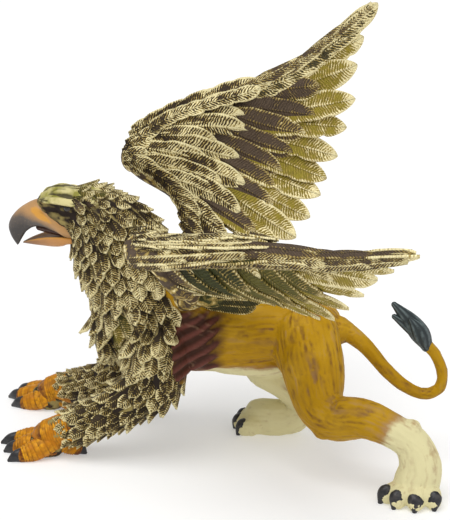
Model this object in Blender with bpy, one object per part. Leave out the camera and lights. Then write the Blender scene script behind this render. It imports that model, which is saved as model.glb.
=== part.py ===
import bpy
import bmesh
import math
import random
from mathutils import Vector
from mathutils.bvhtree import BVHTree

# Griffin figurine: eagle head, chest and forefeet, lion body and tail, two feathered wings.
# It faces -X, its left side is at -Y and it stands on Z = 0. Sizes below are millimetres.
mm = 0.001
shiftX = 8.15
shiftY = 25.44
soleDrop = 0.6
bodyVoxel = 0.75
wingVoxel = 0.6
bodyTriangles = 5450
wingTriangles = 2080
wingGap = 1.15
cutterVoxel = 0.8
cutterKeep = 0.6

# Spine from rump to beak root: x, z, half width, half height.
spine = [
    (38.0, 47.0, 5.0, 5.0),
    (33.5, 46.5, 9.5, 8.4),
    (25.0, 45.5, 12.0, 10.8),
    (14.0, 45.3, 11.3, 11.0),
    (4.0, 43.8, 11.3, 12.2),
    (-7.0, 44.0, 13.3, 14.4),
    (-19.0, 47.0, 15.5, 17.2),
    (-29.0, 54.5, 16.0, 18.0),
    (-35.0, 65.0, 14.8, 16.2),
    (-42.0, 76.0, 12.6, 15.0),
    (-49.0, 82.5, 10.4, 11.4),
    (-54.5, 84.3, 8.8, 8.6),
    (-58.5, 84.3, 7.2, 6.4),
]
# Coat of leaf feathers on head, neck, chest and forelegs.
coatRearX = -17.5
coatSpacing = 4.5
coatLength = 9.6
coatWidth = 5.8
coatThick = 1.9
coatLift = 1.7
downPull = 0.35
cuffEnd = 0.86

# Ridges over the ribs: mid x, mid z, half length.
ribRidges = [
    (-11.5, 52.5, 5.5),
    (-11.0, 48.3, 7.5),
    (-10.5, 44.1, 8.5),
    (-10.0, 39.9, 8.5),
    (-11.0, 35.9, 7.0),
]
ribSlope = 0.55
ribRadius = 1.45

spinePath = [(x, 0.0, z, wide, high) for x, z, wide, high in spine]

# Limbs as x, y, z, half width, half height along each bone.
foreLegLeft = [
    (-23.0, -11.5, 42.0, 10.0, 11.5),
    (-25.0, -13.0, 30.0, 9.0, 9.6),
    (-34.0, -14.5, 22.0, 7.8, 7.8),
    (-44.0, -15.0, 15.8, 6.8, 6.8),
    (-53.0, -15.0, 11.5, 6.0, 6.0),
    (-58.5, -15.0, 9.4, 5.2, 5.2),
]
foreLegRight = [
    (-27.0, 10.5, 43.0, 10.0, 11.5),
    (-33.0, 13.5, 30.0, 9.0, 9.6),
    (-44.0, 16.5, 19.5, 7.6, 7.4),
    (-54.0, 19.5, 13.2, 6.6, 6.4),
    (-63.0, 23.0, 9.6, 5.8, 5.8),
    (-68.0, 25.5, 8.4, 5.2, 5.2),
]
hindLegLeft = [
    (26.0, -7.5, 47.0, 9.0, 11.0),
    (29.0, -12.0, 36.0, 8.5, 10.5),
    (32.0, -17.0, 26.5, 7.4, 8.6),
    (37.5, -20.5, 23.5, 6.4, 8.0),
    (47.0, -24.5, 25.4, 5.6, 6.8),
    (56.0, -27.5, 23.4, 4.9, 5.9),
    (63.0, -29.0, 19.5, 4.8, 6.0),
    (65.9, -29.8, 12.5, 5.6, 7.0),
    (65.0, -30.2, 6.5, 6.4, 7.6),
]
hindLegRight = [
    (26.0, 7.5, 47.0, 9.0, 11.0),
    (20.0, 10.5, 37.0, 8.2, 10.0),
    (10.5, 12.5, 29.0, 6.8, 7.8),
    (7.5, 13.5, 23.5, 5.8, 6.6),
    (13.5, 14.0, 17.5, 5.0, 5.4),
    (20.0, 14.0, 12.0, 4.8, 5.0),
    (19.0, 14.5, 7.4, 5.2, 6.0),
    (12.5, 15.5, 7.0, 5.8, 6.2),
    (7.5, 17.5, 6.4, 6.0, 5.8),
]
tailPath = [
    (33.0, 0.0, 48.5, 3.9, 3.9),
    (36.5, 0.0, 47.6, 3.1, 3.1),
    (44.1, 0.0, 40.9, 2.5, 2.5),
    (51.5, 0.0, 31.9, 2.25, 2.25),
    (58.1, 0.0, 26.2, 2.15, 2.15),
    (65.5, 0.0, 24.2, 2.05, 2.05),
    (70.6, 0.0, 27.8, 2.05, 2.05),
    (71.4, 0.0, 33.6, 2.0, 2.0),
    (69.3, 0.0, 39.6, 2.0, 2.0),
    (66.6, 0.0, 43.0, 2.1, 2.1),
]
tuftLobes = [
    [
        (66.6, 0.0, 42.6, 2.1, 2.1),
        (64.2, 0.6, 46.5, 3.5, 3.2),
        (60.6, 0.8, 51.0, 3.0, 2.7),
        (55.2, 0.8, 56.4, 1.0, 1.0),
    ],
    [(66.2, -0.6, 43.4, 2.0, 1.8), (64.0, -1.6, 48.0, 2.8, 2.6), (61.0, -2.0, 52.2, 1.0, 1.0)],
    [(66.0, 0.0, 43.0, 1.8, 1.8), (61.6, 0.2, 48.4, 2.4, 2.2), (55.4, 0.2, 52.4, 0.9, 0.9)],
]
muscles = [
    ((25.5, -8.0, 43.0), (11.0, 8.0, 13.5)),
    ((25.5, 8.0, 43.0), (11.0, 8.0, 13.5)),
    ((-12.0, -9.5, 47.0), (9.0, 6.5, 14.0)),
    ((-12.0, 9.5, 47.0), (9.0, 6.5, 14.0)),
    ((-21.0, -10.0, 60.0), (8.0, 7.0, 8.0)),
    ((-21.0, 10.0, 60.0), (8.0, 7.0, 8.0)),
    ((-38.0, 0.0, 44.0), (11.0, 11.0, 11.0)),
    ((8.0, 0.0, 36.0), (16.0, 7.5, 4.5)),
    ((26.5, -14.5, 38.5), (7.5, 5.5, 10.5)),
    ((33.0, -15.5, 36.0), (4.2, 4.6, 8.5)),
    ((33.5, -20.5, 20.5), (4.6, 4.4, 4.8)),
    ((43.5, -24.5, 28.0), (7.5, 4.0, 4.4)),
    ((62.5, -28.8, 24.5), (3.6, 3.4, 3.4)),
    ((18.0, 14.5, 36.0), (7.0, 5.0, 8.5)),
    ((9.0, 15.0, 25.5), (4.4, 4.2, 4.6)),
]
footPads = [
    ((63.8, -31.0, 4.4), (7.4, 7.0, 5.0)),
    ((12.0, 16.0, 4.6), (9.5, 6.2, 5.2)),
    ((-62.5, -15.0, 4.8), (6.6, 5.4, 5.3)),
    ((-72.5, 25.6, 4.8), (6.6, 5.4, 5.3)),
]

# Head: skull, crown, brows and eyes.
skull = ((-54.5, 0.0, 84.6), (9.5, 8.6, 8.3))
crown = ((-57.5, 0.0, 87.0), (9.6, 7.4, 6.4))
brow = [
    (-65.0, 4.8, 88.8, 0.9, 0.8),
    (-61.0, 6.9, 89.6, 1.5, 1.1),
    (-56.0, 8.2, 89.6, 2.0, 1.2),
    (-50.5, 8.8, 89.2, 1.8, 1.1),
    (-45.5, 8.4, 90.2, 1.0, 0.8),
]
eye = ((-54.4, 7.8, 86.9), (1.7, 1.3, 1.5))

# Beak halves, each as ridge x, ridge z, cutting edge x, cutting edge z, half width.
upperBeak = [
    (-60.0, 87.6, -51.5, 76.6, 7.4),
    (-65.4, 87.8, -55.8, 77.2, 7.4),
    (-68.2, 87.5, -58.6, 78.4, 6.8),
    (-71.4, 85.9, -61.9, 79.4, 6.0),
    (-74.3, 83.7, -64.9, 79.8, 5.1),
    (-76.6, 80.7, -67.6, 79.2, 4.1),
    (-77.4, 77.8, -69.6, 77.9, 3.1),
    (-76.8, 75.0, -71.7, 75.9, 2.1),
    (-75.8, 72.9, -73.0, 73.9, 1.2),
    (-74.6, 71.2, -74.2, 71.6, 0.5),
]
lowerBeak = [
    (-52.0, 73.4, -51.5, 77.0, 6.6),
    (-56.1, 72.9, -56.1, 76.9, 6.2),
    (-58.2, 72.0, -59.6, 76.3, 5.6),
    (-61.2, 71.6, -63.3, 75.8, 4.6),
    (-64.8, 71.7, -67.1, 74.8, 3.4),
    (-68.9, 71.9, -70.3, 73.6, 2.1),
    (-72.6, 72.1, -72.5, 72.9, 0.6),
]
mouth = [
    (-51.5, 0.0, 77.0, 5.6, 2.4),
    (-57.0, 0.0, 77.4, 5.2, 2.1),
    (-62.0, 0.0, 78.0, 4.0, 1.9),
    (-66.0, 0.0, 78.6, 2.2, 1.3),
]

# Feet: toe lists as start, knuckle and claw tip.
foreToeRadius = 3.3
foreToesLeft = [
    [(-61.0, -13.0, 7.0), (-70.0, -9.5, 3.7), (-74.5, -8.6, 2.7), (-80.5, -9.2, 0.9)],
    [(-61.0, -15.0, 7.0), (-69.0, -15.0, 3.7), (-73.0, -15.4, 2.7), (-77.5, -16.0, 0.9)],
    [(-60.0, -17.0, 6.5), (-66.0, -20.0, 3.7), (-69.5, -21.6, 2.7), (-74.0, -23.2, 0.9)],
    [(-58.0, -14.5, 6.0), (-54.5, -13.8, 4.2), (-52.5, -13.4, 2.8), (-49.5, -13.0, 0.9)],
]
foreToesRight = [
    [(-70.5, 26.5, 6.6), (-78.5, 33.0, 3.7), (-82.5, 35.4, 2.7), (-88.0, 37.6, 0.9)],
    [(-71.0, 25.5, 6.6), (-80.0, 28.0, 3.7), (-84.2, 29.4, 2.7), (-89.6, 31.2, 0.9)],
    [(-70.0, 24.0, 6.2), (-77.0, 22.8, 3.7), (-81.0, 22.8, 2.7), (-86.2, 23.4, 0.9)],
    [(-68.0, 25.0, 6.0), (-64.5, 23.8, 4.2), (-62.5, 23.2, 2.8), (-59.5, 22.4, 0.9)],
]
hindToeRadius = 3.5
hindToesLeft = [
    [(63.5, -32.0, 6.0), (58.0, -33.0, 3.9), (55.6, -34.0, 3.0), (53.6, -35.0, 0.9)],
    [(64.5, -32.5, 6.0), (60.5, -35.4, 3.9), (59.4, -37.2, 3.0), (58.2, -38.6, 0.9)],
    [(66.0, -32.5, 6.0), (65.4, -36.4, 3.9), (65.2, -38.4, 3.0), (65.0, -40.0, 0.9)],
    [(67.5, -31.0, 6.0), (70.0, -34.4, 3.8), (70.8, -36.2, 3.0), (71.2, -37.8, 0.9)],
]
hindToesRight = [
    [(8.0, 19.5, 5.4), (5.0, 23.0, 3.9), (3.6, 25.0, 3.0), (2.2, 26.6, 0.9)],
    [(7.5, 18.0, 5.4), (3.0, 19.6, 3.9), (1.2, 20.8, 3.0), (-1.0, 21.8, 0.9)],
    [(7.5, 16.0, 5.4), (2.4, 15.8, 3.9), (0.4, 16.0, 3.0), (-1.8, 16.4, 0.9)],
    [(8.5, 14.0, 5.2), (4.2, 11.8, 3.8), (2.4, 11.2, 3.0), (0.2, 10.8, 0.9)],
]

# Wing plan seen on its upper face: x along the body, distance out from the shoulder.
rootY = 9.0
rootZ = 60.0
raisedAngle = math.radians(66.0)
raisedCamber = 0.55
leadEdge = [(-18, 3), (-20, 15), (-23, 25), (-33, 32), (-41, 36), (-43, 41), (-40, 48), (-33, 54), (-19, 60),
            (-5, 65), (9, 70), (17, 77), (24, 82), (31, 89), (36, 93), (42, 98)]
flightTip = [(43, 98), (39, 85), (37, 74), (36, 62), (33, 50), (30, 41), (27, 33), (24, 25), (20, 16), (12, 12)]
flightBase = [(9, 69), (6, 65), (3, 61), (1, 57), (-2, 53), (-4, 49), (-6, 45), (-8, 40), (-10, 34), (-13, 28)]
greatTip = [(24, 76), (25, 67), (23, 57), (18, 49), (15, 42), (11, 35), (11, 28), (6, 18)]
greatBase = [(-1, 65), (-3, 62), (-5, 59), (-7, 55), (-10, 50), (-12, 45), (-14, 40), (-16, 30)]
middleTip = [(6, 68), (0, 63), (0, 57), (1, 51), (-2, 42), (1, 33), (0, 24), (-5, 14)]
middleBase = [(-15, 61), (-17, 57), (-19, 55), (-22, 51), (-24, 46), (-24, 41), (-22, 35), (-20, 25)]
smallTip = [(-15, 61), (-16, 57), (-16, 51), (-17, 45), (-19, 38), (-15, 35), (-11, 29), (-10, 20)]
smallBase = [(-31, 54), (-32, 52), (-34, 49), (-35, 45), (-35, 41), (-32, 37), (-27, 33), (-21, 25)]
wristTip = [(-30, 55), (-30, 51), (-31, 47), (-31, 43), (-31, 39), (-29, 35)]
wristBase = [(-39, 49), (-40, 47), (-41, 44), (-42, 41), (-41, 38), (-37, 36)]
handTip = [(42, 98), (36, 91), (27, 82), (20, 76), (12, 70)]
handBase = [(30, 88), (22, 80), (14, 74), (7, 69), (0, 66)]
wingRows = [
    (flightBase, flightTip, 11, 8.6, 1.5, 0.0),
    (greatBase, greatTip, 9, 8.0, 1.6, 1.0),
    (middleBase, middleTip, 8, 7.6, 1.7, 2.2),
    (smallBase, smallTip, 8, 6.2, 1.8, 3.2),
    (wristBase, wristTip, 6, 5.2, 1.8, 3.9),
    (handBase, handTip, 5, 5.2, 1.6, 0.9),
]
underRows = [
    (greatBase, greatTip, 9, 7.6, 1.5, -1.3),
    (middleBase, middleTip, 8, 7.2, 1.6, -2.5),
]
featherTwist = 0.16
wristArch = 8.0
armWide = (4.2, 1.6)
armHigh = (5.4, 1.8)
armDrop = 1.2

# Wing root against the shoulder: a swell and four feathers that lie back over the flank.
rootSwell = ((-5.0, 13.0, 62.5), (10.0, 4.2, 5.6))
rootFeathers = [
    ((-11.0, 12.5, 59.5), (10.0, 16.5, 58.8)),
    ((-11.0, 13.5, 61.5), (12.5, 17.5, 62.0)),
    ((-10.0, 14.5, 63.5), (13.0, 18.5, 65.0)),
    ((-9.0, 15.0, 65.5), (12.5, 19.0, 68.0)),
]


def curvePoint(points, t):
    # Smooth curve through the points, t from 0 to 1.
    count = len(points)
    place = min(max(t, 0.0), 1.0) * (count - 1)
    i = min(int(place), count - 2)
    f = place - i
    result = []
    for k in range(len(points[0])):
        a = points[max(i - 1, 0)][k]
        b = points[i][k]
        c = points[i + 1][k]
        d = points[min(i + 2, count - 1)][k]
        value = b + 0.5 * f * (c - a + f * (2 * a - 5 * b + 4 * c - d + f * (3 * (b - c) + d - a)))
        result.append(value)
    return result


def ringFrame(points, t, side):
    step = 0.01
    ahead = Vector(curvePoint(points, min(t + step, 1.0))[:3])
    behind = Vector(curvePoint(points, max(t - step, 0.0))[:3])
    along = (ahead - behind).normalized()
    across = (side - along * side.dot(along)).normalized()
    return along, across, across.cross(along)


def addTube(bm, points, rings, segments=16, side=Vector((0, 1, 0))):
    # Closed tube of elliptical rings with domed ends.
    loops = []
    dome = [0.35, 0.8]
    places = [(0.0, -d) for d in reversed(dome)]
    places += [(i / (rings - 1), 0.0) for i in range(rings)]
    places += [(1.0, d) for d in dome]
    for t, push in places:
        x, y, z, wide, high = curvePoint(points, t)
        along, across, normal = ringFrame(points, t, side)
        shrink = math.sqrt(1.0 - push * push)
        centre = Vector((x, y, z)) + along * push * min(wide, high)
        ring = []
        for k in range(segments):
            angle = 2 * math.pi * k / segments
            offset = across * math.cos(angle) * wide + normal * math.sin(angle) * high
            ring.append(bm.verts.new(centre + offset * shrink))
        loops.append(ring)
    for lower, upper in zip(loops, loops[1:]):
        for k in range(segments):
            n = (k + 1) % segments
            bm.faces.new((lower[k], lower[n], upper[n], upper[k]))
    bm.faces.new(list(reversed(loops[0])))
    bm.faces.new(loops[-1])


def addBall(bm, centre, radii, rings=10, segments=16):
    points = []
    for i in range(1, rings):
        turn = math.pi * i / rings
        ring = []
        for k in range(segments):
            angle = 2 * math.pi * k / segments
            x = centre[0] + radii[0] * math.sin(turn) * math.cos(angle)
            y = centre[1] + radii[1] * math.sin(turn) * math.sin(angle)
            ring.append(bm.verts.new((x, y, centre[2] + radii[2] * math.cos(turn))))
        points.append(ring)
    for upper, lower in zip(points, points[1:]):
        for k in range(segments):
            n = (k + 1) % segments
            bm.faces.new((upper[k], lower[k], lower[n], upper[n]))
    bm.faces.new(points[0])
    bm.faces.new(list(reversed(points[-1])))


def addFeather(bm, base, tip, normal, width, thick, lift):
    # Closed leaf with a raised midrib; its tip stands off by lift.
    along = tip - base
    side = along.cross(normal).normalized()
    up = side.cross(along).normalized()
    shape = [(0.0, 0.45, 0.6), (0.3, 0.9, 1.0), (0.65, 1.0, 1.0), (0.88, 0.55, 0.8)]
    rows = []
    for s, w, h in shape:
        centre = base + along * s + up * lift * s * s
        rows.append([
            bm.verts.new(centre - side * width * w * 0.5),
            bm.verts.new(centre + up * thick * h * 0.6),
            bm.verts.new(centre + side * width * w * 0.5),
            bm.verts.new(centre - up * thick * h * 0.4),
        ])
    point = bm.verts.new(tip + up * lift)
    for a, b in zip(rows, rows[1:]):
        for k in range(4):
            n = (k + 1) % 4
            bm.faces.new((a[k], a[n], b[n], b[k]))
    last = rows[-1]
    for k in range(4):
        bm.faces.new((last[k], last[(k + 1) % 4], point))
    bm.faces.new(list(reversed(rows[0])))


def flowSamples():
    # Points along spine and forelegs: place, way the feathers lie, thickness there, leg share.
    samples = []
    steps = 30
    for path, sign in ((spinePath, -1.0), (foreLegLeft, 1.0), (foreLegRight, 1.0)):
        for i in range(steps + 1):
            t = i / steps
            x, y, z, wide, high = curvePoint(path, t)
            along = ringFrame(path, t, Vector((0, 1, 0)))[0] * sign
            if sign < 0:
                along.z -= downPull
            samples.append((Vector((x, y, z)), along, max(wide, high), t if sign > 0 else 0.0))
    return samples


def coatSize(place, samples):
    # Feather scale at a place on the skin, 0 where the coat ends.
    rear = coatRearX - 0.2 * max(place.z - 50.0, 0.0) + 0.6 * max(34.0 - place.z, 0.0)
    if place.x > rear:
        return 0.0
    if place.x < -58.0 and 70.0 < place.z < 90.5:
        return 0.0
    nearest = min(samples, key=lambda sample: (sample[0] - place).length / sample[2])
    if nearest[3] > cuffEnd or place.z < 5.0:
        return 0.0
    fromSkull = (place - Vector(skull[0])).length
    headScale = min(max((fromSkull - 9.0) / 16.0, 0.0), 1.0)
    return (0.62 + 0.38 * headScale) * (1.0 - 0.3 * nearest[3])


def addCoat(bm, skin):
    # Overlapping leaf feathers spread evenly over the skin, each lying along the limb under it.
    points, normals = skin[:2]
    samples = flowSamples()
    shake = random.Random(5)
    order = list(range(len(points)))
    shake.shuffle(order)
    taken = []
    cells = {}
    for i in order:
        place = points[i]
        size = coatSize(place, samples)
        if size == 0.0:
            continue
        gap = coatSpacing * size
        cell = tuple(int(math.floor(value / coatSpacing)) for value in place)
        near = []
        for dx in (-1, 0, 1):
            for dy in (-1, 0, 1):
                for dz in (-1, 0, 1):
                    near += cells.get((cell[0] + dx, cell[1] + dy, cell[2] + dz), [])
        if any((place - other).length < gap for other in near):
            continue
        cells.setdefault(cell, []).append(place)
        taken.append((place, normals[i], size))
    for place, facing, size in taken:
        travel = Vector((0, 0, 0))
        for spot, way, reach, legShare in samples:
            travel += way * math.exp(-(3.0 * (place - spot).length / reach) ** 2 + 9.0)
        travel = (travel - facing * travel.dot(facing)).normalized()
        size *= shake.uniform(0.9, 1.12)
        base = place - travel * coatLength * 0.4 * size - facing * 0.4
        tip = place + travel * coatLength * 0.6 * size + facing * 0.4
        addFeather(bm, base, tip, facing, coatWidth * size, coatThick, coatLift * size)


def addRibs(bm, skin):
    # Low slanting ridges laid on both flanks.
    tree = skin[2]
    steps = 6
    for side in (-1, 1):
        for x, z, half in ribRidges:
            ridge = []
            for i in range(steps + 1):
                f = 2.0 * i / steps - 1.0
                start = Vector((x + f * half, side * 60.0, z + f * half * ribSlope))
                hit = tree.ray_cast(start, Vector((0, -side, 0)))[0]
                radius = ribRadius * (1.0 - 0.45 * f * f)
                ridge.append((hit.x, hit.y - side * 0.45, hit.z, radius, radius))
            addTube(bm, ridge, 14, 8)


def wingHeight(x, out):
    # Arch of the wing over its flat plan: raised behind the front edge, drooping at the rear.
    back = (x + 43.0) * 0.564 - (out - 40.0) * 0.826
    hold = min(max((out - 4.0) / 38.0, 0.3), 1.0)
    crest = wristArch * math.exp(-((back - 6.5) / 7.0) ** 2)
    crest *= min(max((80.0 - out) / 25.0, 0.0), 1.0) * min(max((out - 10.0) / 20.0, 0.0), 1.0)
    return crest - 0.38 * max(back, 0.0) * hold


def wingPlace(lowered, x, out, above=0.0):
    height = wingHeight(x, out)
    if lowered:
        place = Vector((0.9 * x + 0.3 * out, -(rootY + 0.93 * out), 67.0 + 0.4 * out + height))
        return place + Vector((0, 0.38, 0.925)) * above
    height = height * raisedCamber + above
    y = rootY + out * math.cos(raisedAngle) - height * math.sin(raisedAngle)
    z = rootZ + out * math.sin(raisedAngle) + height * math.cos(raisedAngle)
    return Vector((x, y, z))


def addSheet(bm, lowered, front, rear, thick, steps=18, spans=6):
    # Thin closed sheet between two plan curves.
    top = []
    bottom = []
    for i in range(steps + 1):
        a = curvePoint(front, i / steps)
        b = curvePoint(rear, i / steps)
        topRow = []
        bottomRow = []
        for j in range(spans + 1):
            x = a[0] + (b[0] - a[0]) * j / spans
            out = a[1] + (b[1] - a[1]) * j / spans
            topRow.append(bm.verts.new(wingPlace(lowered, x, out, thick * 0.5)))
            bottomRow.append(bm.verts.new(wingPlace(lowered, x, out, -thick * 0.5)))
        top.append(topRow)
        bottom.append(bottomRow)
    for i in range(steps):
        for j in range(spans):
            bm.faces.new((top[i][j], top[i][j + 1], top[i + 1][j + 1], top[i + 1][j]))
            bm.faces.new((bottom[i][j], bottom[i + 1][j], bottom[i + 1][j + 1], bottom[i][j + 1]))
    for i in range(steps):
        bm.faces.new((top[i][0], top[i + 1][0], bottom[i + 1][0], bottom[i][0]))
        bm.faces.new((top[i][spans], bottom[i][spans], bottom[i + 1][spans], top[i + 1][spans]))
    for j in range(spans):
        bm.faces.new((top[0][j], bottom[0][j], bottom[0][j + 1], top[0][j + 1]))
        bm.faces.new((top[steps][j], top[steps][j + 1], bottom[steps][j + 1], bottom[steps][j]))


def addWing(bm, lowered):
    boneCount = 12
    bone = []
    for i in range(boneCount + 1):
        t = i / boneCount
        edge = curvePoint(leadEdge, t * 0.86)
        rear = curvePoint(middleBase[::-1], t)
        x = edge[0] * 0.82 + rear[0] * 0.18
        out = edge[1] * 0.82 + rear[1] * 0.18
        place = wingPlace(lowered, x, out, -armDrop * (1.0 - t))
        wide = armWide[0] + (armWide[1] - armWide[0]) * t
        high = armHigh[0] + (armHigh[1] - armHigh[0]) * t
        bone.append((place.x, place.y, place.z, wide, high))
    shoulder = wingPlace(lowered, -15, 2, -2.0)
    inner = (shoulder.x, shoulder.y * 0.7, shoulder.z - 3.0, 7.0, 5.6)
    addTube(bm, [inner, (shoulder.x - 1, shoulder.y, shoulder.z, 6.4, 5.4)] + bone, 44, 14, Vector((1, 0, 0)))
    sheetRear = [(28, 82), (24, 66), (20, 52), (12, 40), (6, 24), (-2, 12)]
    sheetFront = [(28, 85), (9, 70), (-19, 60), (-40, 46), (-33, 33), (-20, 16)]
    addSheet(bm, lowered, sheetFront, sheetRear, 1.5)
    for baseCurve, tipCurve, count, width, thick, above in wingRows + underRows:
        for i in range(count):
            t = i / (count - 1)
            base = curvePoint(baseCurve, t)
            tip = curvePoint(tipCurve, t)
            start = wingPlace(lowered, base[0], base[1], above)
            middle = wingPlace(lowered, (base[0] + tip[0]) / 2, (base[1] + tip[1]) / 2, above)
            end = wingPlace(lowered, tip[0], tip[1], above * 0.55)
            raised = wingPlace(lowered, base[0], base[1], above + 1.0) - start
            normal = raised.normalized() * (1 if above >= 0 else -1)
            bend = (middle - (start + end) / 2).dot(raised)
            addBentFeather(bm, start, end, normal, width, thick, bend * (1 if above >= 0 else -1))
    side = -1 if lowered else 1
    centre, radii = rootSwell
    addBall(bm, (centre[0], side * centre[1], centre[2]), radii)
    for base, tip in rootFeathers:
        start = Vector((base[0], side * base[1], base[2]))
        end = Vector((tip[0], side * tip[1], tip[2]))
        addBentFeather(bm, start, end, Vector((0, side, 0.25)), 5.6, 1.8, 0.6)


def addBentFeather(bm, base, tip, normal, width, thick, bend):
    along = tip - base
    side = along.cross(normal).normalized()
    up = side.cross(along).normalized()
    side = (side + up * featherTwist).normalized()
    shape = [(0.0, 0.5), (0.25, 0.85), (0.5, 1.0), (0.76, 1.0), (0.93, 0.7)]
    rows = []
    for s, w in shape:
        centre = base + along * s + up * bend * 4.0 * s * (1.0 - s)
        half = side * width * w * 0.5
        rows.append([
            bm.verts.new(centre - half - up * thick * 0.15),
            bm.verts.new(centre - half * 0.5 + up * thick * 0.45),
            bm.verts.new(centre + up * thick * 0.6),
            bm.verts.new(centre + half * 0.5 + up * thick * 0.45),
            bm.verts.new(centre + half - up * thick * 0.15),
            bm.verts.new(centre - up * thick * 0.45),
        ])
    count = len(rows[0])
    for a, b in zip(rows, rows[1:]):
        for k in range(count):
            n = (k + 1) % count
            bm.faces.new((a[k], a[n], b[n], b[k]))
    point = bm.verts.new(tip)
    last = rows[-1]
    for k in range(count):
        bm.faces.new((last[k], last[(k + 1) % count], point))
    bm.faces.new(list(reversed(rows[0])))


def addToe(bm, points, radius):
    start, knuckle, quick, claw = points
    toe = [
        (*start, radius * 1.05, radius * 1.1),
        (*knuckle, radius, radius * 1.05),
        (*quick, radius * 0.72, radius * 0.78),
    ]
    addTube(bm, toe, 8, 10)
    nail = [
        (*quick, radius * 0.55, radius * 0.72),
        ((quick[0] + claw[0]) / 2, (quick[1] + claw[1]) / 2, quick[2] * 0.85, radius * 0.42, radius * 0.55),
        (*claw, radius * 0.14, radius * 0.2),
    ]
    addTube(bm, nail, 6, 8)


def addHorn(bm, rows, rings=22, segments=16):
    # Horn between its ridge line and its cutting edge, closed at both ends.
    loops = []
    for i in range(rings):
        ridgeX, ridgeZ, edgeX, edgeZ, half = curvePoint(rows, i / (rings - 1))
        ring = []
        for k in range(segments):
            angle = 2 * math.pi * k / segments
            high = 0.5 + 0.5 * math.sin(angle)
            x = edgeX + (ridgeX - edgeX) * high
            z = edgeZ + (ridgeZ - edgeZ) * high
            ring.append(bm.verts.new((x, half * math.cos(angle), z)))
        loops.append(ring)
    for lower, upper in zip(loops, loops[1:]):
        for k in range(segments):
            n = (k + 1) % segments
            bm.faces.new((lower[k], lower[n], upper[n], upper[k]))
    bm.faces.new(list(reversed(loops[0])))
    bm.faces.new(loops[-1])


def addBody(bm):
    addTube(bm, spinePath, 48, 28)
    for leg in (foreLegLeft, foreLegRight, hindLegLeft, hindLegRight):
        addTube(bm, leg, 26, 18)
    addTube(bm, tailPath, 40, 10)
    for centre, radii in muscles + footPads:
        addBall(bm, centre, radii)
    addBall(bm, *skull)
    addBall(bm, *crown)


def carveBody(bm, skin):
    for toes in (foreToesLeft, foreToesRight):
        for toe in toes:
            addToe(bm, toe, foreToeRadius)
    for toes in (hindToesLeft, hindToesRight):
        for toe in toes:
            addToe(bm, toe, hindToeRadius)
    addHorn(bm, upperBeak)
    addHorn(bm, lowerBeak)
    addTube(bm, mouth, 10, 12)
    for lobe in tuftLobes:
        addTube(bm, lobe, 10, 8)
    for side in (-1, 1):
        addTube(bm, [(x, side * y, z, wide, high) for x, y, z, wide, high in brow], 8, 8)
        centre, radii = eye
        addBall(bm, (centre[0], side * centre[1], centre[2]), radii, 6, 8)
    addRibs(bm, skin)
    addCoat(bm, skin)


def largestPart(bm):
    # Keep only the biggest connected part.
    left = set(bm.verts)
    parts = []
    while left:
        seed = left.pop()
        group = {seed}
        front = [seed]
        while front:
            vert = front.pop()
            for edge in vert.link_edges:
                other = edge.other_vert(vert)
                if other in left:
                    left.discard(other)
                    group.add(other)
                    front.append(other)
        parts.append(group)
    parts.sort(key=len, reverse=True)
    for group in parts[1:]:
        bmesh.ops.delete(bm, geom=list(group), context="VERTS")


def evaluated(obj, name):
    bpy.context.view_layer.update()
    graph = bpy.context.evaluated_depsgraph_get()
    mesh = bpy.data.meshes.new_from_object(obj.evaluated_get(graph))
    bpy.data.objects.remove(obj)
    fresh = bpy.data.objects.new(name, mesh)
    bpy.context.scene.collection.objects.link(fresh)
    return fresh


def meshObject(name, bm):
    bmesh.ops.recalc_face_normals(bm, faces=bm.faces)
    mesh = bpy.data.meshes.new(name)
    bm.to_mesh(mesh)
    bm.free()
    obj = bpy.data.objects.new(name, mesh)
    bpy.context.scene.collection.objects.link(obj)
    return obj


def fused(obj, name, voxel, softenTurns):
    # One watertight skin round all overlapping forms.
    skin = obj.modifiers.new("skin", "REMESH")
    skin.mode = "VOXEL"
    skin.voxel_size = voxel * mm
    soften = obj.modifiers.new("soften", "SMOOTH")
    soften.factor = 0.5
    soften.iterations = softenTurns
    return evaluated(obj, name)


def moved(bm):
    # From sculpt millimetres to the object's own place in metres.
    move = Vector((shiftX, shiftY, -soleDrop))
    for vert in bm.verts:
        vert.co = (vert.co + move) * mm


def skinOf(obj):
    # The fused skin in sculpt millimetres: points, normals and a search tree.
    move = Vector((shiftX, shiftY, -soleDrop))
    points = [vert.co / mm - move for vert in obj.data.vertices]
    normals = [vert.normal.copy() for vert in obj.data.vertices]
    faces = [tuple(polygon.vertices) for polygon in obj.data.polygons]
    return points, normals, BVHTree.FromPolygons(points, faces)


def merged(name, forms, carving, voxel):
    # Soft forms first, then the carved feathers, toes and claws on them.
    bm = bmesh.new()
    forms(bm)
    moved(bm)
    obj = meshObject(name, bm)
    if carving:
        obj = fused(obj, name, voxel, 8)
        bm = bmesh.new()
        carving(bm, skinOf(obj))
        moved(bm)
        bmesh.ops.recalc_face_normals(bm, faces=bm.faces)
        bm.from_mesh(obj.data)
        bm.to_mesh(obj.data)
        bm.free()
    return fused(obj, name, voxel, 1)


def thinned(obj, name, triangles):
    # The largest connected part, with fewer faces.
    mesh = obj.data
    bm = bmesh.new()
    bm.from_mesh(mesh)
    largestPart(bm)
    bm.to_mesh(mesh)
    bm.free()
    thin = obj.modifiers.new("thin", "DECIMATE")
    thin.ratio = triangles / max(1, sum(len(p.vertices) - 2 for p in mesh.polygons))
    return evaluated(obj, name)


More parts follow.
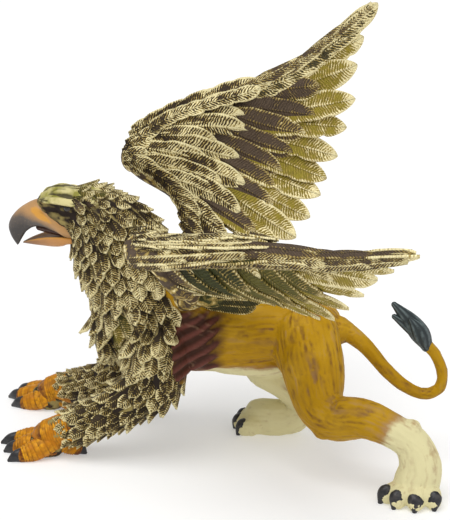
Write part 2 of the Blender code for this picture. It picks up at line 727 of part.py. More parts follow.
def cleanUp(obj, flatSole):
    bm = bmesh.new()
    bm.from_mesh(obj.data)
    if flatSole:
        parts = bm.verts[:] + bm.edges[:] + bm.faces[:]
        bmesh.ops.bisect_plane(bm, geom=parts, plane_co=(0, 0, 0), plane_no=(0, 0, 1), clear_inner=True)
        rim = [edge for edge in bm.edges if edge.is_boundary]
        bmesh.ops.holes_fill(bm, edges=rim, sides=0)
    bmesh.ops.triangulate(bm, faces=bm.faces)
    largestPart(bm)
    bmesh.ops.recalc_face_normals(bm, faces=bm.faces)
    bm.to_mesh(obj.data)
    bm.free()


def paint(obj, name, colour, roughness, metallic):
    material = bpy.data.materials.new(name)
    material.use_nodes = True
    shader = material.node_tree.nodes["Principled BSDF"]
    shader.inputs["Base Color"].default_value = (*colour, 1.0)
    shader.inputs["Roughness"].default_value = roughness
    shader.inputs["Metallic"].default_value = metallic
    obj.data.materials.clear()
    obj.data.materials.append(material)
    for polygon in obj.data.polygons:
        polygon.use_smooth = False


def trimWing(wing, body):
    # Leaves the glue line: the wing root is cut back from the body's skin.
    cutter = body.copy()
    cutter.data = body.data.copy()
    cutter.name = "trim"
    bpy.context.scene.collection.objects.link(cutter)
    grow = cutter.modifiers.new("grow", "DISPLACE")
    grow.strength = wingGap * mm
    grow.mid_level = 0.0
    skin = cutter.modifiers.new("skin", "REMESH")
    skin.mode = "VOXEL"
    skin.voxel_size = cutterVoxel * mm
    thin = cutter.modifiers.new("thin", "DECIMATE")
    thin.ratio = cutterKeep
    cutter = evaluated(cutter, "trim")
    cut = wing.modifiers.new("cut", "BOOLEAN")
    cut.operation = "DIFFERENCE"
    cut.solver = "EXACT"
    cut.object = cutter
    name = wing.name
    wing = evaluated(wing, name)
    bpy.data.objects.remove(cutter)
    return fused(wing, name, wingVoxel, 0)


for old in list(bpy.data.objects):
    bpy.data.objects.remove(old)

body = merged("body", addBody, carveBody, bodyVoxel)
body = thinned(body, "body", bodyTriangles)
cleanUp(body, True)
wings = []
for name, lowered in (("wing_left", True), ("wing_right", False)):
    wing = merged(name, lambda bm, low=lowered: addWing(bm, low), None, wingVoxel)
    wing = trimWing(wing, body)
    wing = thinned(wing, name, wingTriangles)
    cleanUp(wing, False)
    wings.append(wing)

paint(body, "paint_body", (0.45, 0.27, 0.05), 0.55, 0.0)
for wing in wings:
    paint(wing, "paint_" + wing.name, (0.30, 0.24, 0.09), 0.5, 0.35)
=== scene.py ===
import math
import random
import bmesh
import bpy
import numpy as np
from mathutils import Matrix, Vector


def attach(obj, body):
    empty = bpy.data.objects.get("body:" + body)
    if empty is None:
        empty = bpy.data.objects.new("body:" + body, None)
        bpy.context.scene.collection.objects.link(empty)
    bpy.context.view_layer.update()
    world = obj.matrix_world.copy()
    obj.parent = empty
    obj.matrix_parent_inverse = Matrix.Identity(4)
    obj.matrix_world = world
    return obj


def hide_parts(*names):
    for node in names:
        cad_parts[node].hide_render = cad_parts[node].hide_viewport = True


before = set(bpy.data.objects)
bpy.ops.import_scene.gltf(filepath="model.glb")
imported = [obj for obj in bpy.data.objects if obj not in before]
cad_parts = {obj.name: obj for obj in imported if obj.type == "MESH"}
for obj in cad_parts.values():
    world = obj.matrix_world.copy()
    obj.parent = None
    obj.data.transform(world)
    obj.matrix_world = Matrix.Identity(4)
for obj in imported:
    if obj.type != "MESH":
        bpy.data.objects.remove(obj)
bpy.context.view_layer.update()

mm = 0.001
place = Vector((8.15, 25.44, -0.6))      # where the sculpt's own origin lies in the row frame, in mm

# node building


class Sock:
    # wraps one output socket, so that masks and patterns read as sums
    def __init__(self, tree, out):
        self.tree = tree
        self.out = out

    def _math(self, kind, *values, clamp=False):
        node = self.tree.nodes.new("ShaderNodeMath")
        node.operation = kind
        node.use_clamp = clamp
        for i, value in enumerate(values):
            plug(self.tree, node.inputs[i], value)
        return Sock(self.tree, node.outputs[0])

    def __add__(self, other):
        return self._math("ADD", self, other)

    __radd__ = __add__

    def __sub__(self, other):
        return self._math("SUBTRACT", self, other)

    def __rsub__(self, other):
        return self._math("SUBTRACT", other, self)

    def __mul__(self, other):
        return self._math("MULTIPLY", self, other)

    __rmul__ = __mul__

    def __truediv__(self, other):
        return self._math("DIVIDE", self, other)

    def abs(self):
        return self._math("ABSOLUTE", self)

    def sin(self):
        return self._math("SINE", self)

    def upper(self, other):
        return self._math("MAXIMUM", self, other)

    def clamp(self):
        return self._math("ADD", self, 0.0, clamp=True)

    def ramp(self, low, high):
        # 0 below low, 1 above high, straight between
        return ((self - low) * (1.0 / (high - low))).clamp()


def plug(tree, socket, value):
    if isinstance(value, Sock):
        tree.links.new(value.out, socket)
    elif value is not None:
        if hasattr(socket, "default_value") and hasattr(socket.default_value, "__len__"):
            value = tuple(value)
            if len(socket.default_value) == 4 and len(value) == 3:
                value = (*value, 1.0)
        socket.default_value = value


class Kit:
    # one material or geometry tree and the short calls that fill it
    def __init__(self, tree):
        self.tree = tree

    def make(self, kind, settings=None, output=0, **links):
        node = self.tree.nodes.new(kind)
        for key, value in (settings or {}).items():
            if key == "stops":
                ramp = node.color_ramp
                while len(ramp.elements) < len(value):
                    ramp.elements.new(0.5)
                for element, (at, colour) in zip(ramp.elements, value):
                    element.position = at
                    element.color = (*colour, 1.0)
            else:
                setattr(node, key, value)
        for key, value in links.items():
            if key.startswith("i") and key[1:].isdigit():
                plug(self.tree, node.inputs[int(key[1:])], value)
            else:
                plug(self.tree, node.inputs[key.replace("_", " ")], value)
        return node if output is None else Sock(self.tree, node.outputs[output])

    def mix(self, amount, a, b, kind="MIX"):
        node = self.tree.nodes.new("ShaderNodeMix")
        node.data_type = "RGBA"
        node.blend_type = kind
        node.clamp_factor = True
        plug(self.tree, node.inputs[0], amount)
        plug(self.tree, node.inputs[6], a)
        plug(self.tree, node.inputs[7], b)
        return Sock(self.tree, node.outputs[2])

    def attribute(self, name, output="Fac"):
        node = self.tree.nodes.new("ShaderNodeAttribute")
        node.attribute_name = name
        return Sock(self.tree, node.outputs[output])

    def parts(self, vector):
        node = self.tree.nodes.new("ShaderNodeSeparateXYZ")
        plug(self.tree, node.inputs[0], vector)
        return [Sock(self.tree, out) for out in node.outputs]

    def join(self, x, y, z):
        return self.make("ShaderNodeCombineXYZ", i0=x, i1=y, i2=z)

    def noise(self, vector, scale, detail=3.0, rough=0.5):
        return self.make("ShaderNodeTexNoise", Vector=vector, Scale=scale, Detail=detail, Roughness=rough)

    def spots(self, vector, scale):
        return self.make("ShaderNodeTexVoronoi", Vector=vector, Scale=scale)


def newMaterial(name):
    material = bpy.data.materials.new(name)
    material.use_nodes = True
    tree = material.node_tree
    shader = tree.nodes["Principled BSDF"]
    kit = Kit(tree)
    kit.here = kit.make("ShaderNodeTexCoord", output=None)
    kit.here = Sock(tree, kit.here.outputs["Object"])

    def finish(colour, rough, bump=None, strength=0.5, distance=0.0002, metal=None, coat=None, gloss=0.25):
        plug(tree, shader.inputs["Base Color"], colour)
        plug(tree, shader.inputs["Roughness"], rough)
        shader.inputs["Specular IOR Level"].default_value = gloss
        if metal is not None:
            plug(tree, shader.inputs["Metallic"], metal)
        if coat is not None:
            shader.inputs["Coat Weight"].default_value = coat
            shader.inputs["Coat Roughness"].default_value = 0.25
        if bump is not None:
            normal = kit.make("ShaderNodeBump", Height=bump, Strength=strength, Distance=distance)
            plug(tree, shader.inputs["Normal"], normal)

    kit.finish = finish
    return material, kit


# shape helpers, all in millimetres


def curveAt(points, t):
    # smooth curve through the points for an array of t
    points = np.asarray(points, float)
    count = len(points)
    t = np.clip(np.asarray(t, float), 0.0, 1.0) * (count - 1)
    i = np.minimum(t.astype(int), count - 2)
    f = (t - i)[..., None]
    a = points[np.maximum(i - 1, 0)]
    b = points[i]
    c = points[i + 1]
    d = points[np.minimum(i + 2, count - 1)]
    return b + 0.5 * f * (c - a + f * (2 * a - 5 * b + 4 * c - d + f * (3 * (b - c) + d - a)))


def unit(v):
    return v / np.maximum(np.linalg.norm(v, axis=-1, keepdims=True), 1e-9)


def framesAt(points, t, side):
    ahead = curveAt(points, np.minimum(t + 0.01, 1.0))[..., :3]
    behind = curveAt(points, np.maximum(t - 0.01, 0.0))[..., :3]
    along = unit(ahead - behind)
    side = np.asarray(side, float)
    across = unit(side - along * (along @ side)[..., None])
    return along, across, np.cross(across, along)


def closedRings(rows, segments):
    # quads between rings of points, and fans to the two end points that follow them
    faces = []
    for r in range(rows - 1):
        for k in range(segments):
            n = (k + 1) % segments
            faces.append((r * segments + k, r * segments + n, (r + 1) * segments + n, (r + 1) * segments + k))
    low = rows * segments
    for k in range(segments):
        n = (k + 1) % segments
        faces.append((low, n, k))
        faces.append((low + 1, (rows - 1) * segments + k, (rows - 1) * segments + n))
    return faces


def tube(points, rings, segments=20, side=(0, 1, 0), relief=None):
    # closed tube of elliptical rings with domed ends: points, faces, (t, angle) of each point
    dome = [0.3, 0.6, 0.85, 0.97]
    t = np.concatenate([np.zeros(4), np.linspace(0, 1, rings), np.ones(4)])
    push = np.concatenate([-np.array(dome[::-1]), np.zeros(rings), np.array(dome)])
    data = curveAt(points, t)
    along, across, normal = framesAt(points, t, side)
    shrink = np.sqrt(1 - push ** 2)
    angle = np.arange(segments) * 2 * math.pi / segments
    wide = (data[:, 3] * shrink)[:, None]
    high = (data[:, 4] * shrink)[:, None]
    if relief is not None:
        extra = relief(t[:, None] + 0 * angle[None, :], angle[None, :] + 0 * t[:, None])
        wide = wide + extra
        high = high + extra
    centre = data[:, :3] + along * (push * np.minimum(data[:, 3], data[:, 4]))[:, None]
    cosine = (np.cos(angle)[None, :] * wide)[..., None]
    sine = (np.sin(angle)[None, :] * high)[..., None]
    ring = centre[:, None, :] + across[:, None, :] * cosine + normal[:, None, :] * sine
    ends = np.array([centre[0] - along[0] * 0.05, centre[-1] + along[-1] * 0.05])
    verts = np.vstack([ring.reshape(-1, 3), ends])
    tags = np.stack(np.broadcast_arrays(t[:, None], angle[None, :]), -1).reshape(-1, 2)
    tags = np.vstack([tags, [[0, 0], [1, 0]]])
    return verts, closedRings(len(t), segments), tags


def ball(centre, radii, rings=14, segments=20):
    points = [(centre[0], centre[1], centre[2] - radii[2] * math.cos(math.pi * i / rings),
               max(radii[0] * math.sin(math.pi * i / rings), 1e-3),
               max(radii[1] * math.sin(math.pi * i / rings), 1e-3)) for i in range(rings + 1)]
    points = np.array(points)
    angle = np.arange(segments) * 2 * math.pi / segments
    verts = []
    for x, y, z, wide, deep in points[1:-1]:
        verts.append(np.stack([x + wide * np.cos(angle), y + deep * np.sin(angle), 0 * angle + z], -1))
    verts = np.vstack(verts + [points[:1, :3], points[-1:, :3]])
    return verts, closedRings(rings - 1, segments), np.zeros((len(verts), 2))


def rimRing(columns, rows):
    # indices round the edge of a grid of points
    wide = columns + 1
    ring = list(range(wide)) + [j * wide + columns for j in range(1, rows + 1)]
    ring += [rows * wide + i for i in range(columns - 1, -1, -1)]
    return ring + [j * wide for j in range(rows - 1, 0, -1)]


def gather(parts):
    # several (verts, faces, tags) as one
    verts, faces, tags, base = [], [], [], 0
    for v, f, g in parts:
        verts.append(v)
        tags.append(g)
        faces.extend(tuple(i + base for i in face) for face in f)
        base += len(v)
    return np.vstack(verts), faces, np.vstack(tags)


def newObject(name, verts, faces, attributes=None, smooth=True):
    # mesh object in metres at the row frame's origin
    mesh = bpy.data.meshes.new(name)
    mesh.from_pydata(((np.asarray(verts) + np.array(place)) * mm).tolist(), [], faces)
    obj = bpy.data.objects.new(name, mesh)
    bpy.context.scene.collection.objects.link(obj)
    for key, values in (attributes or {}).items():
        addAttribute(mesh, key, values)
    if smooth:
        mesh.polygons.foreach_set("use_smooth", [True] * len(mesh.polygons))
    return obj


def addAttribute(mesh, key, values):
    values = np.asarray(values, np.float32)
    if values.ndim == 1:
        layer = mesh.attributes.new(key, "FLOAT", "POINT")
        layer.data.foreach_set("value", values)
    else:
        layer = mesh.attributes.new(key, "FLOAT_VECTOR", "POINT")
        layer.data.foreach_set("vector", values.ravel())


def baked(obj, name):
    # modifiers applied, old object dropped
    bpy.context.view_layer.update()
    graph = bpy.context.evaluated_depsgraph_get()
    mesh = bpy.data.meshes.new_from_object(obj.evaluated_get(graph))
    bpy.data.objects.remove(obj)
    fresh = bpy.data.objects.new(name, mesh)
    bpy.context.scene.collection.objects.link(fresh)
    return fresh


def triangles(obj):
    return sum(len(p.vertices) - 2 for p in obj.data.polygons)


def coords(obj, kind="co"):
    values = np.empty(len(obj.data.vertices) * 3, np.float32)
    obj.data.vertices.foreach_get(kind, values)
    return values.reshape(-1, 3).astype(float)


def setCoords(obj, values):
    obj.data.vertices.foreach_set("co", values.astype(np.float32).ravel())
    obj.data.update()


def outward(obj):
    # face normals turned outwards
    bm = bmesh.new()
    bm.from_mesh(obj.data)
    bmesh.ops.recalc_face_normals(bm, faces=bm.faces)
    bm.to_mesh(obj.data)
    bm.free()


def dots(p, seed=0):
    # smooth random field on a unit lattice, 0 to 1
    cell = np.floor(p).astype(np.int64)
    f = p - cell
    f = f * f * (3 - 2 * f)

    def corner(dx, dy, dz):
        n = (cell[:, 0] + dx) * 73856093 ^ (cell[:, 1] + dy) * 19349663 ^ (cell[:, 2] + dz) * 83492791
        n = (n + seed * 97561) & 0xFFFFFFF
        n = (n ^ (n >> 13)) * 1274126177 & 0xFFFFFFF
        return ((n ^ (n >> 11)) & 0xFFFF) / 65535.0

    result = 0
    for dx in (0, 1):
        for dy in (0, 1):
            for dz in (0, 1):
                weight = (f[:, 0] if dx else 1 - f[:, 0]) * (f[:, 1] if dy else 1 - f[:, 1])
                weight = weight * (f[:, 2] if dz else 1 - f[:, 2])
                result = result + weight * corner(dx, dy, dz)
    return result


def strokes(p, flow, grain, reach, seed=0, taps=9):
    # random field smeared along the flow: reads as combed fur
    total = 0
    for k in np.linspace(-reach, reach, taps):
        total = total + dots((p + flow * k) / grain, seed)
    total = total / taps
    return np.clip((total - 0.5) * math.sqrt(taps) * 0.9 + 0.5, 0, 1)


# body forms, from the same sizes as the part

form = {
    "spine": [(35.5, 46.5, 5.0, 5.0), (32.0, 46.5, 9.5, 8.4), (25.0, 45.5, 12.0, 10.8),
              (14.0, 45.3, 11.3, 11.0), (4.0, 43.8, 11.3, 12.2), (-7.0, 44.0, 13.3, 14.4),
              (-19.0, 47.0, 15.5, 17.2), (-29.0, 54.5, 16.0, 18.0), (-35.0, 65.0, 14.8, 16.2),
              (-42.0, 76.0, 12.6, 15.0), (-49.0, 82.5, 10.4, 11.4), (-54.5, 84.3, 8.8, 8.6),
              (-58.5, 84.3, 7.2, 6.4)],
    "foreLeft": [(-23.0, -11.5, 42.0, 10.0, 11.5), (-25.0, -13.0, 30.0, 9.0, 9.6),
                 (-34.0, -14.5, 22.0, 7.8, 7.8), (-44.0, -15.0, 15.8, 6.8, 6.8),
                 (-53.0, -15.0, 11.5, 6.0, 6.0), (-58.5, -15.0, 9.4, 5.2, 5.2)],
    "foreRight": [(-27.0, 10.5, 43.0, 10.0, 11.5), (-33.0, 13.5, 30.0, 9.0, 9.6),
                  (-44.0, 16.5, 19.5, 7.6, 7.4), (-54.0, 19.5, 13.2, 6.6, 6.4), (-63.0, 23.0, 9.6, 5.8, 5.8),
                  (-68.0, 25.5, 8.4, 5.2, 5.2)],
    "hindLeft": [(26.0, -7.5, 47.0, 9.0, 11.0), (29.0, -12.0, 36.0, 8.5, 10.5), (32.0, -17.0, 26.5, 7.4, 8.6),
                 (37.5, -20.5, 23.5, 6.4, 8.0), (47.0, -24.5, 25.4, 5.6, 6.8), (56.0, -27.5, 23.4, 4.9, 5.9),
                 (63.0, -29.0, 19.5, 4.8, 6.0), (65.9, -29.8, 12.5, 5.6, 7.0), (65.0, -30.2, 6.5, 6.4, 7.6)],
    "hindRight": [(26.0, 7.5, 47.0, 9.0, 11.0), (20.0, 10.5, 37.0, 8.2, 10.0), (10.5, 12.5, 29.5, 6.6, 7.4),
                  (8.5, 13.5, 25.0, 5.4, 6.0), (16.5, 14.0, 18.8, 4.6, 4.6), (22.5, 14.0, 12.5, 4.5, 4.6),
                  (19.0, 14.5, 7.4, 5.2, 6.0), (12.5, 15.5, 7.0, 5.8, 6.2), (7.5, 17.5, 6.4, 6.0, 5.8)],
    "tail": [(33.0, 0.0, 48.5, 3.9, 3.9), (37.0, 0.0, 47.4, 3.5, 3.5), (44.8, 0.0, 41.8, 2.8, 2.8),
             (52.4, 0.0, 33.2, 2.4, 2.4), (59.0, 0.0, 27.5, 2.2, 2.2), (65.6, 0.0, 25.2, 2.1, 2.1),
             (70.6, 0.0, 27.8, 2.05, 2.05), (71.2, 0.0, 33.6, 2.0, 2.0), (68.8, 0.0, 39.6, 2.0, 2.0),
             (65.8, 0.0, 43.0, 2.1, 2.1)],
    "muscles": [((25.5, -8.0, 43.0), (11.0, 8.0, 13.5)), ((25.5, 8.0, 43.0), (11.0, 8.0, 13.5)),
                ((-12.0, -9.5, 47.0), (9.0, 6.5, 14.0)), ((-12.0, 9.5, 47.0), (9.0, 6.5, 14.0)),
                ((-21.0, -10.0, 60.0), (8.0, 7.0, 8.0)), ((-21.0, 10.0, 60.0), (8.0, 7.0, 8.0)),
                ((-38.0, 0.0, 44.0), (11.0, 11.0, 11.0)), ((5.0, 0.0, 33.6), (19.0, 7.5, 4.9)),
                ((26.5, -14.5, 38.5), (7.5, 5.5, 10.5)), ((32.0, -15.5, 36.0), (4.2, 4.6, 8.5)),
                ((33.5, -20.5, 20.5), (4.6, 4.4, 4.8)), ((43.5, -24.5, 28.0), (7.5, 4.0, 4.4)),
                ((62.5, -28.8, 24.5), (3.6, 3.4, 3.4)), ((18.0, 14.5, 36.0), (7.0, 5.0, 8.5)),
                ((9.0, 15.0, 25.5), (4.4, 4.2, 4.6)), ((-57.5, 0.0, 87.0), (9.6, 7.4, 6.4))],
    "brow": [(-65.0, 4.8, 88.8, 0.9, 0.8), (-61.0, 6.9, 89.6, 1.5, 1.1), (-56.0, 8.2, 89.6, 2.0, 1.2),
             (-50.5, 8.8, 89.2, 1.8, 1.1), (-45.5, 8.4, 90.2, 1.0, 0.8)],
    "pads": [((63.8, -31.0, 4.4), (7.4, 7.0, 5.0)), ((12.0, 16.0, 4.6), (9.5, 6.2, 5.2)),
             ((-62.5, -15.0, 4.8), (6.6, 5.4, 5.3)), ((-72.5, 25.6, 4.8), (6.6, 5.4, 5.3))],
    "skull": ((-54.5, 0.0, 84.6), (9.5, 8.6, 8.3)),
}
spine = [(x, 0.0, z, wide, high) for x, z, wide, high in form["spine"]]
limbs = [form[key] for key in ("foreLeft", "foreRight", "hindLeft", "hindRight")]

toes = {
    "foreLeft": [[(-61.0, -13.0, 7.0), (-70.0, -9.5, 3.7), (-74.5, -8.6, 2.7), (-80.5, -9.2, 0.9)],
                 [(-61.0, -15.0, 7.0), (-69.0, -15.0, 3.7), (-73.0, -15.4, 2.7), (-77.5, -16.0, 0.9)],
                 [(-60.0, -17.0, 6.5), (-66.0, -20.0, 3.7), (-69.5, -21.6, 2.7), (-74.0, -23.2, 0.9)],
                 [(-58.0, -14.5, 6.0), (-54.5, -13.8, 4.2), (-52.5, -13.4, 2.8), (-49.5, -13.0, 0.9)]],
    "foreRight": [[(-70.5, 26.5, 6.6), (-78.5, 33.0, 3.7), (-82.5, 35.4, 2.7), (-88.0, 37.6, 0.9)],
                  [(-71.0, 25.5, 6.6), (-80.0, 28.0, 3.7), (-84.2, 29.4, 2.7), (-89.6, 31.2, 0.9)],
                  [(-70.0, 24.0, 6.2), (-77.0, 22.8, 3.7), (-81.0, 22.8, 2.7), (-86.2, 23.4, 0.9)],
                  [(-68.0, 25.0, 6.0), (-64.5, 23.8, 4.2), (-62.5, 23.2, 2.8), (-59.5, 22.4, 0.9)]],
    "hindLeft": [[(63.5, -32.0, 6.0), (58.0, -33.0, 3.9), (55.6, -34.0, 3.0), (53.6, -35.0, 0.9)],
                 [(64.5, -32.5, 6.0), (60.5, -35.4, 3.9), (59.4, -37.2, 3.0), (58.2, -38.6, 0.9)],
                 [(66.0, -32.5, 6.0), (65.4, -36.4, 3.9), (65.2, -38.4, 3.0), (65.0, -40.0, 0.9)],
                 [(67.5, -31.0, 6.0), (70.0, -34.4, 3.8), (70.8, -36.2, 3.0), (71.2, -37.8, 0.9)]],
    "hindRight": [[(8.0, 19.5, 5.4), (5.0, 23.0, 3.9), (3.6, 25.0, 3.0), (2.2, 26.6, 0.9)],
                  [(7.5, 18.0, 5.4), (3.0, 19.6, 3.9), (1.2, 20.8, 3.0), (-1.0, 21.8, 0.9)],
                  [(7.5, 16.0, 5.4), (2.4, 15.8, 3.9), (0.4, 16.0, 3.0), (-1.8, 16.4, 0.9)],
                  [(8.5, 14.0, 5.2), (4.2, 11.8, 3.8), (2.4, 11.2, 3.0), (0.2, 10.8, 0.9)]],
}


def toeTube(points, radius, segments=14):
    start, knuckle, quick = points[:3]
    path = [(*start, radius * 1.05, radius * 1.1), (*knuckle, radius, radius * 1.05),
            (*quick, radius * 0.72, radius * 0.78)]
    return tube(path, 12, segments)


def clawTube(points, radius, high):
    knuckle, quick, claw = points[1:]
    root = [quick[i] * 0.75 + knuckle[i] * 0.25 for i in range(3)]
    middle = [(quick[i] + claw[i]) / 2 for i in range(3)]
    path = [(*root, radius * 0.5, radius * 0.62), (*quick, radius * 0.52, radius * 0.72),
            (middle[0], middle[1], middle[2] + high, radius * 0.44, radius * 0.6),
            (*claw, radius * 0.13, radius * 0.2)]
    return tube(path, 16, 14)


print("stage: hide")
hideLook = {
    "voxel": 0.5, "soften": 8, "limit": 188000, "eye": (-54.4, 87.4),
    "furDepth": 0.28, "furGrain": 0.75, "furReach": 4.5, "clumpDepth": 0.34,
    "ribDepth": 1.0, "ribPitch": 3.65, "ribWay": (0.876, 0.482), "scarDepth": 0.5,
    "ochre": (0.42, 0.225, 0.003), "ochreLight": (0.58, 0.345, 0.020), "ochreDark": (0.17, 0.075, 0.015),
    "maroon": (0.050, 0.018, 0.010), "mauve": (0.20, 0.105, 0.075), "cream": (0.70, 0.64, 0.36),
    # under: near-black, the face's own dark paint, and painted shade on the skin under the feather coat
    "creamDark": (0.36, 0.215, 0.13), "under": (0.022, 0.014, 0.010), "faceGold": (0.42, 0.33, 0.11),
}


def fuseForms(name, look):
    parts = [tube(spine, 60, 36)] + [tube(limb, 40, 24) for limb in limbs] + [tube(form["tail"], 70, 14)]
    parts += [ball(*m) for m in form["muscles"] + form["pads"]] + [ball(*form["skull"])]
    parts += [toeTube(toe, 3.5) for key in ("hindLeft", "hindRight") for toe in toes[key]]
    parts += [tube([(x, side * y, z, w, h) for x, y, z, w, h in form["brow"]], 20, 14) for side in (-1, 1)]
    obj = newObject(name, *gather(parts)[:2])
    skin = obj.modifiers.new("skin", "REMESH")
    skin.mode = "VOXEL"
    skin.voxel_size = look["voxel"] * mm
    soften = obj.modifiers.new("soften", "SMOOTH")
    soften.factor = 0.5
    soften.iterations = look["soften"]
    return baked(obj, name)


def flowField(points, pull=0.0):
    # direction along the nearest limb, blended between neighbours, and how far along a foreleg it lies
    samples, ways, reach, share = [], [], [], []
    for k, path in enumerate([spine[::-1]] + limbs + [form["tail"]]):
        t = np.linspace(0, 1, 60)
        data = curveAt(path, t)
        along = framesAt(path, t, (0, 1, 0))[0]
        if k == 0:
            along = along - np.array([0, 0, pull]) * (data[:, 2:3] > 50)
        samples.append(data[:, :3])
        ways.append(along)
        reach.append(np.maximum(data[:, 3], data[:, 4]))
        share.append(t if k in (1, 2) else t * 0)
    samples = np.vstack(samples)
    ways = np.vstack(ways)
    reach = np.concatenate(reach)
    share = np.concatenate(share)
    result = np.zeros_like(points)
    leg = np.zeros(len(points))
    for start in range(0, len(points), 4000):
        chunk = points[start:start + 4000]
        gap = np.linalg.norm(chunk[:, None, :] - samples[None, :, :], axis=2) / reach[None, :]
        weight = np.exp(-(gap * 3.0) ** 2) + 1e-12
        result[start:start + 4000] = weight @ ways
        leg[start:start + 4000] = share[np.argmin(gap, axis=1)]
    return unit(result), leg


def coatSize(co, leg):
    # feather scale over the skin, 0 where the coat ends
    x, z = co[:, 0], co[:, 2]
    rear = -17.5 - 0.2 * np.maximum(z - 50, 0) + 0.6 * np.maximum(34 - z, 0)
    bare = (x > rear) | (leg > 0.82) | (z < 4) | ((z < 36) & (leg < 0.03) & (x > -26))
    bare |= (x < -58.5) & (z > 88.0)
    bare |= (x < -57.0 + 0.35 * (z - 77)) & (z > 73.5)
    bare |= np.linalg.norm((co - np.array([-54.6, 0, 87.0])) * np.array([1, 0, 1]), axis=1) < 3.0
    head = np.clip((np.linalg.norm(co - np.array(form["skull"][0]), axis=1) - 9) / 14, 0, 1)
    crest = np.clip((z - 89) / 3, 0, 1) * (x < -35)
    size = np.maximum(0.55 + 0.45 * head, 0.8 * crest)
    return np.where(bare, 0, size * (1 - 0.3 * leg))


def near(co, spot, reach):
    # 1 at a spot, fading to 0 at its reach in x, y, z
    gap = np.linalg.norm((co - np.array(spot)) / np.array(reach), axis=1)
    return np.clip(1.6 * (1 - gap), 0, 1)


def hidePiece(look):
    obj = fuseForms("hide", look)
    co = coords(obj) / mm - np.array(place)
    normal = coords(obj, "normal")
    flow, leg = flowField(co)
    flow = unit(flow - normal * np.sum(flow * normal, axis=1, keepdims=True))
    skin = (co.copy(), normal.copy(), leg)
    coat = np.clip(coatSize(co, leg) * 5, 0, 1)
    fur = strokes(co, flow, look["furGrain"], look["furReach"], 3, 13)
    broad = strokes(co, flow, 2.4, 8.0, 8, 9)
    x, y, z = co.T
    wayX, wayZ = look["ribWay"]
    rib = np.exp(-(((x + 11.5) / 9.5) ** 4)) * np.clip((z - 29) / 3, 0, 1) * np.clip((58 - z) / 6, 0, 1)
    rib = rib * np.clip((np.abs(y) - 4) / 5, 0, 1)
    bend = (dots(co / 6.0, 5) - 0.5) * 1.2
    wave = 0.5 + 0.5 * np.cos(((x + 10.5) * wayZ - (z - 44.1) * wayX + bend) * 2 * math.pi / look["ribPitch"])
    rib = rib * (1 - coat)
    # scratched creases: thigh, knee fold, shank, groin, flank
    scarZone = near(co, (29, -20, 34), (5, 9, 13)) + near(co, (39, -23, 27), (7, 9, 8))
    scarZone += near(co, (50, -28, 28), (8, 8, 5)) * 0.8 + near(co, (18, -13, 41), (6, 9, 7)) * 0.7
    scarZone += near(co, (8, -12, 47), (14, 9, 9)) * 0.35 + near(co, (20, 16, 33), (9, 9, 11))
    scar = strokes(co, flow, 1.3, 5.0, 21, 9)
    scar = np.clip((scar - 0.62) / 0.14, 0, 1) * np.clip(scarZone, 0, 1)
    bare = 1 - coat
    facial = (x < -52) * 1.0
    crown = np.clip((z - 89.0 + 0.6 * np.abs(y) / 8) / 1.2, 0, 1) * (x < -44)
    fur = np.where(x < -44, strokes(co, flow, 1.15, 5.0, 31, 11), fur)
    depth = (fur - 0.5) * (look["furDepth"] + 0.35 * facial + 0.5 * crown) * np.maximum(bare, facial)
    depth = depth + (broad - 0.5) * look["clumpDepth"] * bare
    depth = depth + rib * (wave - 0.35) * look["ribDepth"] - scar * look["scarDepth"]
    socket = near(co * np.array([1, 0, 1]), (look["eye"][0], 1, look["eye"][1]), (2.9, 1, 2.2))
    depth = depth - socket * 1.1 * (np.abs(y) > 4)
    co = co + normal * depth[:, None]
    co[:, 2] = np.maximum(co[:, 2], 0.6)
    setCoords(obj, (co + np.array(place)) * mm)
    mesh = obj.data
    for field, values in (("fur", fur), ("rib", rib * (0.62 + 0.38 * wave)), ("wave", rib * wave),
                          ("scar", scar),
                          ("coat", np.clip(coat + (x < -44), 0, 1)), ("crown", crown)):
        addAttribute(mesh, field, values)
    paw = np.zeros(len(co))
    for key, last in (("hindLeft", 3), ("hindRight", 4)):
        for spot in np.array(form[key])[-last:, :3]:
            gap = np.linalg.norm(co - spot, axis=1)
            paw = np.maximum(paw, np.clip((13.0 - gap) / 8.0, 0, 1))
    paw = np.maximum(paw, np.clip((15 - z) / 3, 0, 1) * (x > -8))
    inner = np.clip((y - 4) / 4, 0, 1) * np.clip((33 - z) / 6, 0, 1) * (x < 34) * (x > -6)
    belly = np.clip((35.5 - z) / 3, 0, 1) * np.clip((11 - np.abs(y)) / 5, 0, 1) * np.clip((x + 15) / 8, 0, 1)
    belly = belly * (x < 24) * (z > 24)
    addAttribute(mesh, "cream", np.clip(paw + np.maximum(inner, belly), 0, 1))
    fade = triangles(obj) / look["limit"]
    if fade > 1.0:
        thin = obj.modifiers.new("thin", "DECIMATE")
        thin.ratio = 1.0 / fade
        obj = baked(obj, "hide")
    obj.data.polygons.foreach_set("use_smooth", [True] * len(obj.data.polygons))
    obj.data.materials.clear()
    obj.data.materials.append(hidePaint(look))
    return obj, skin


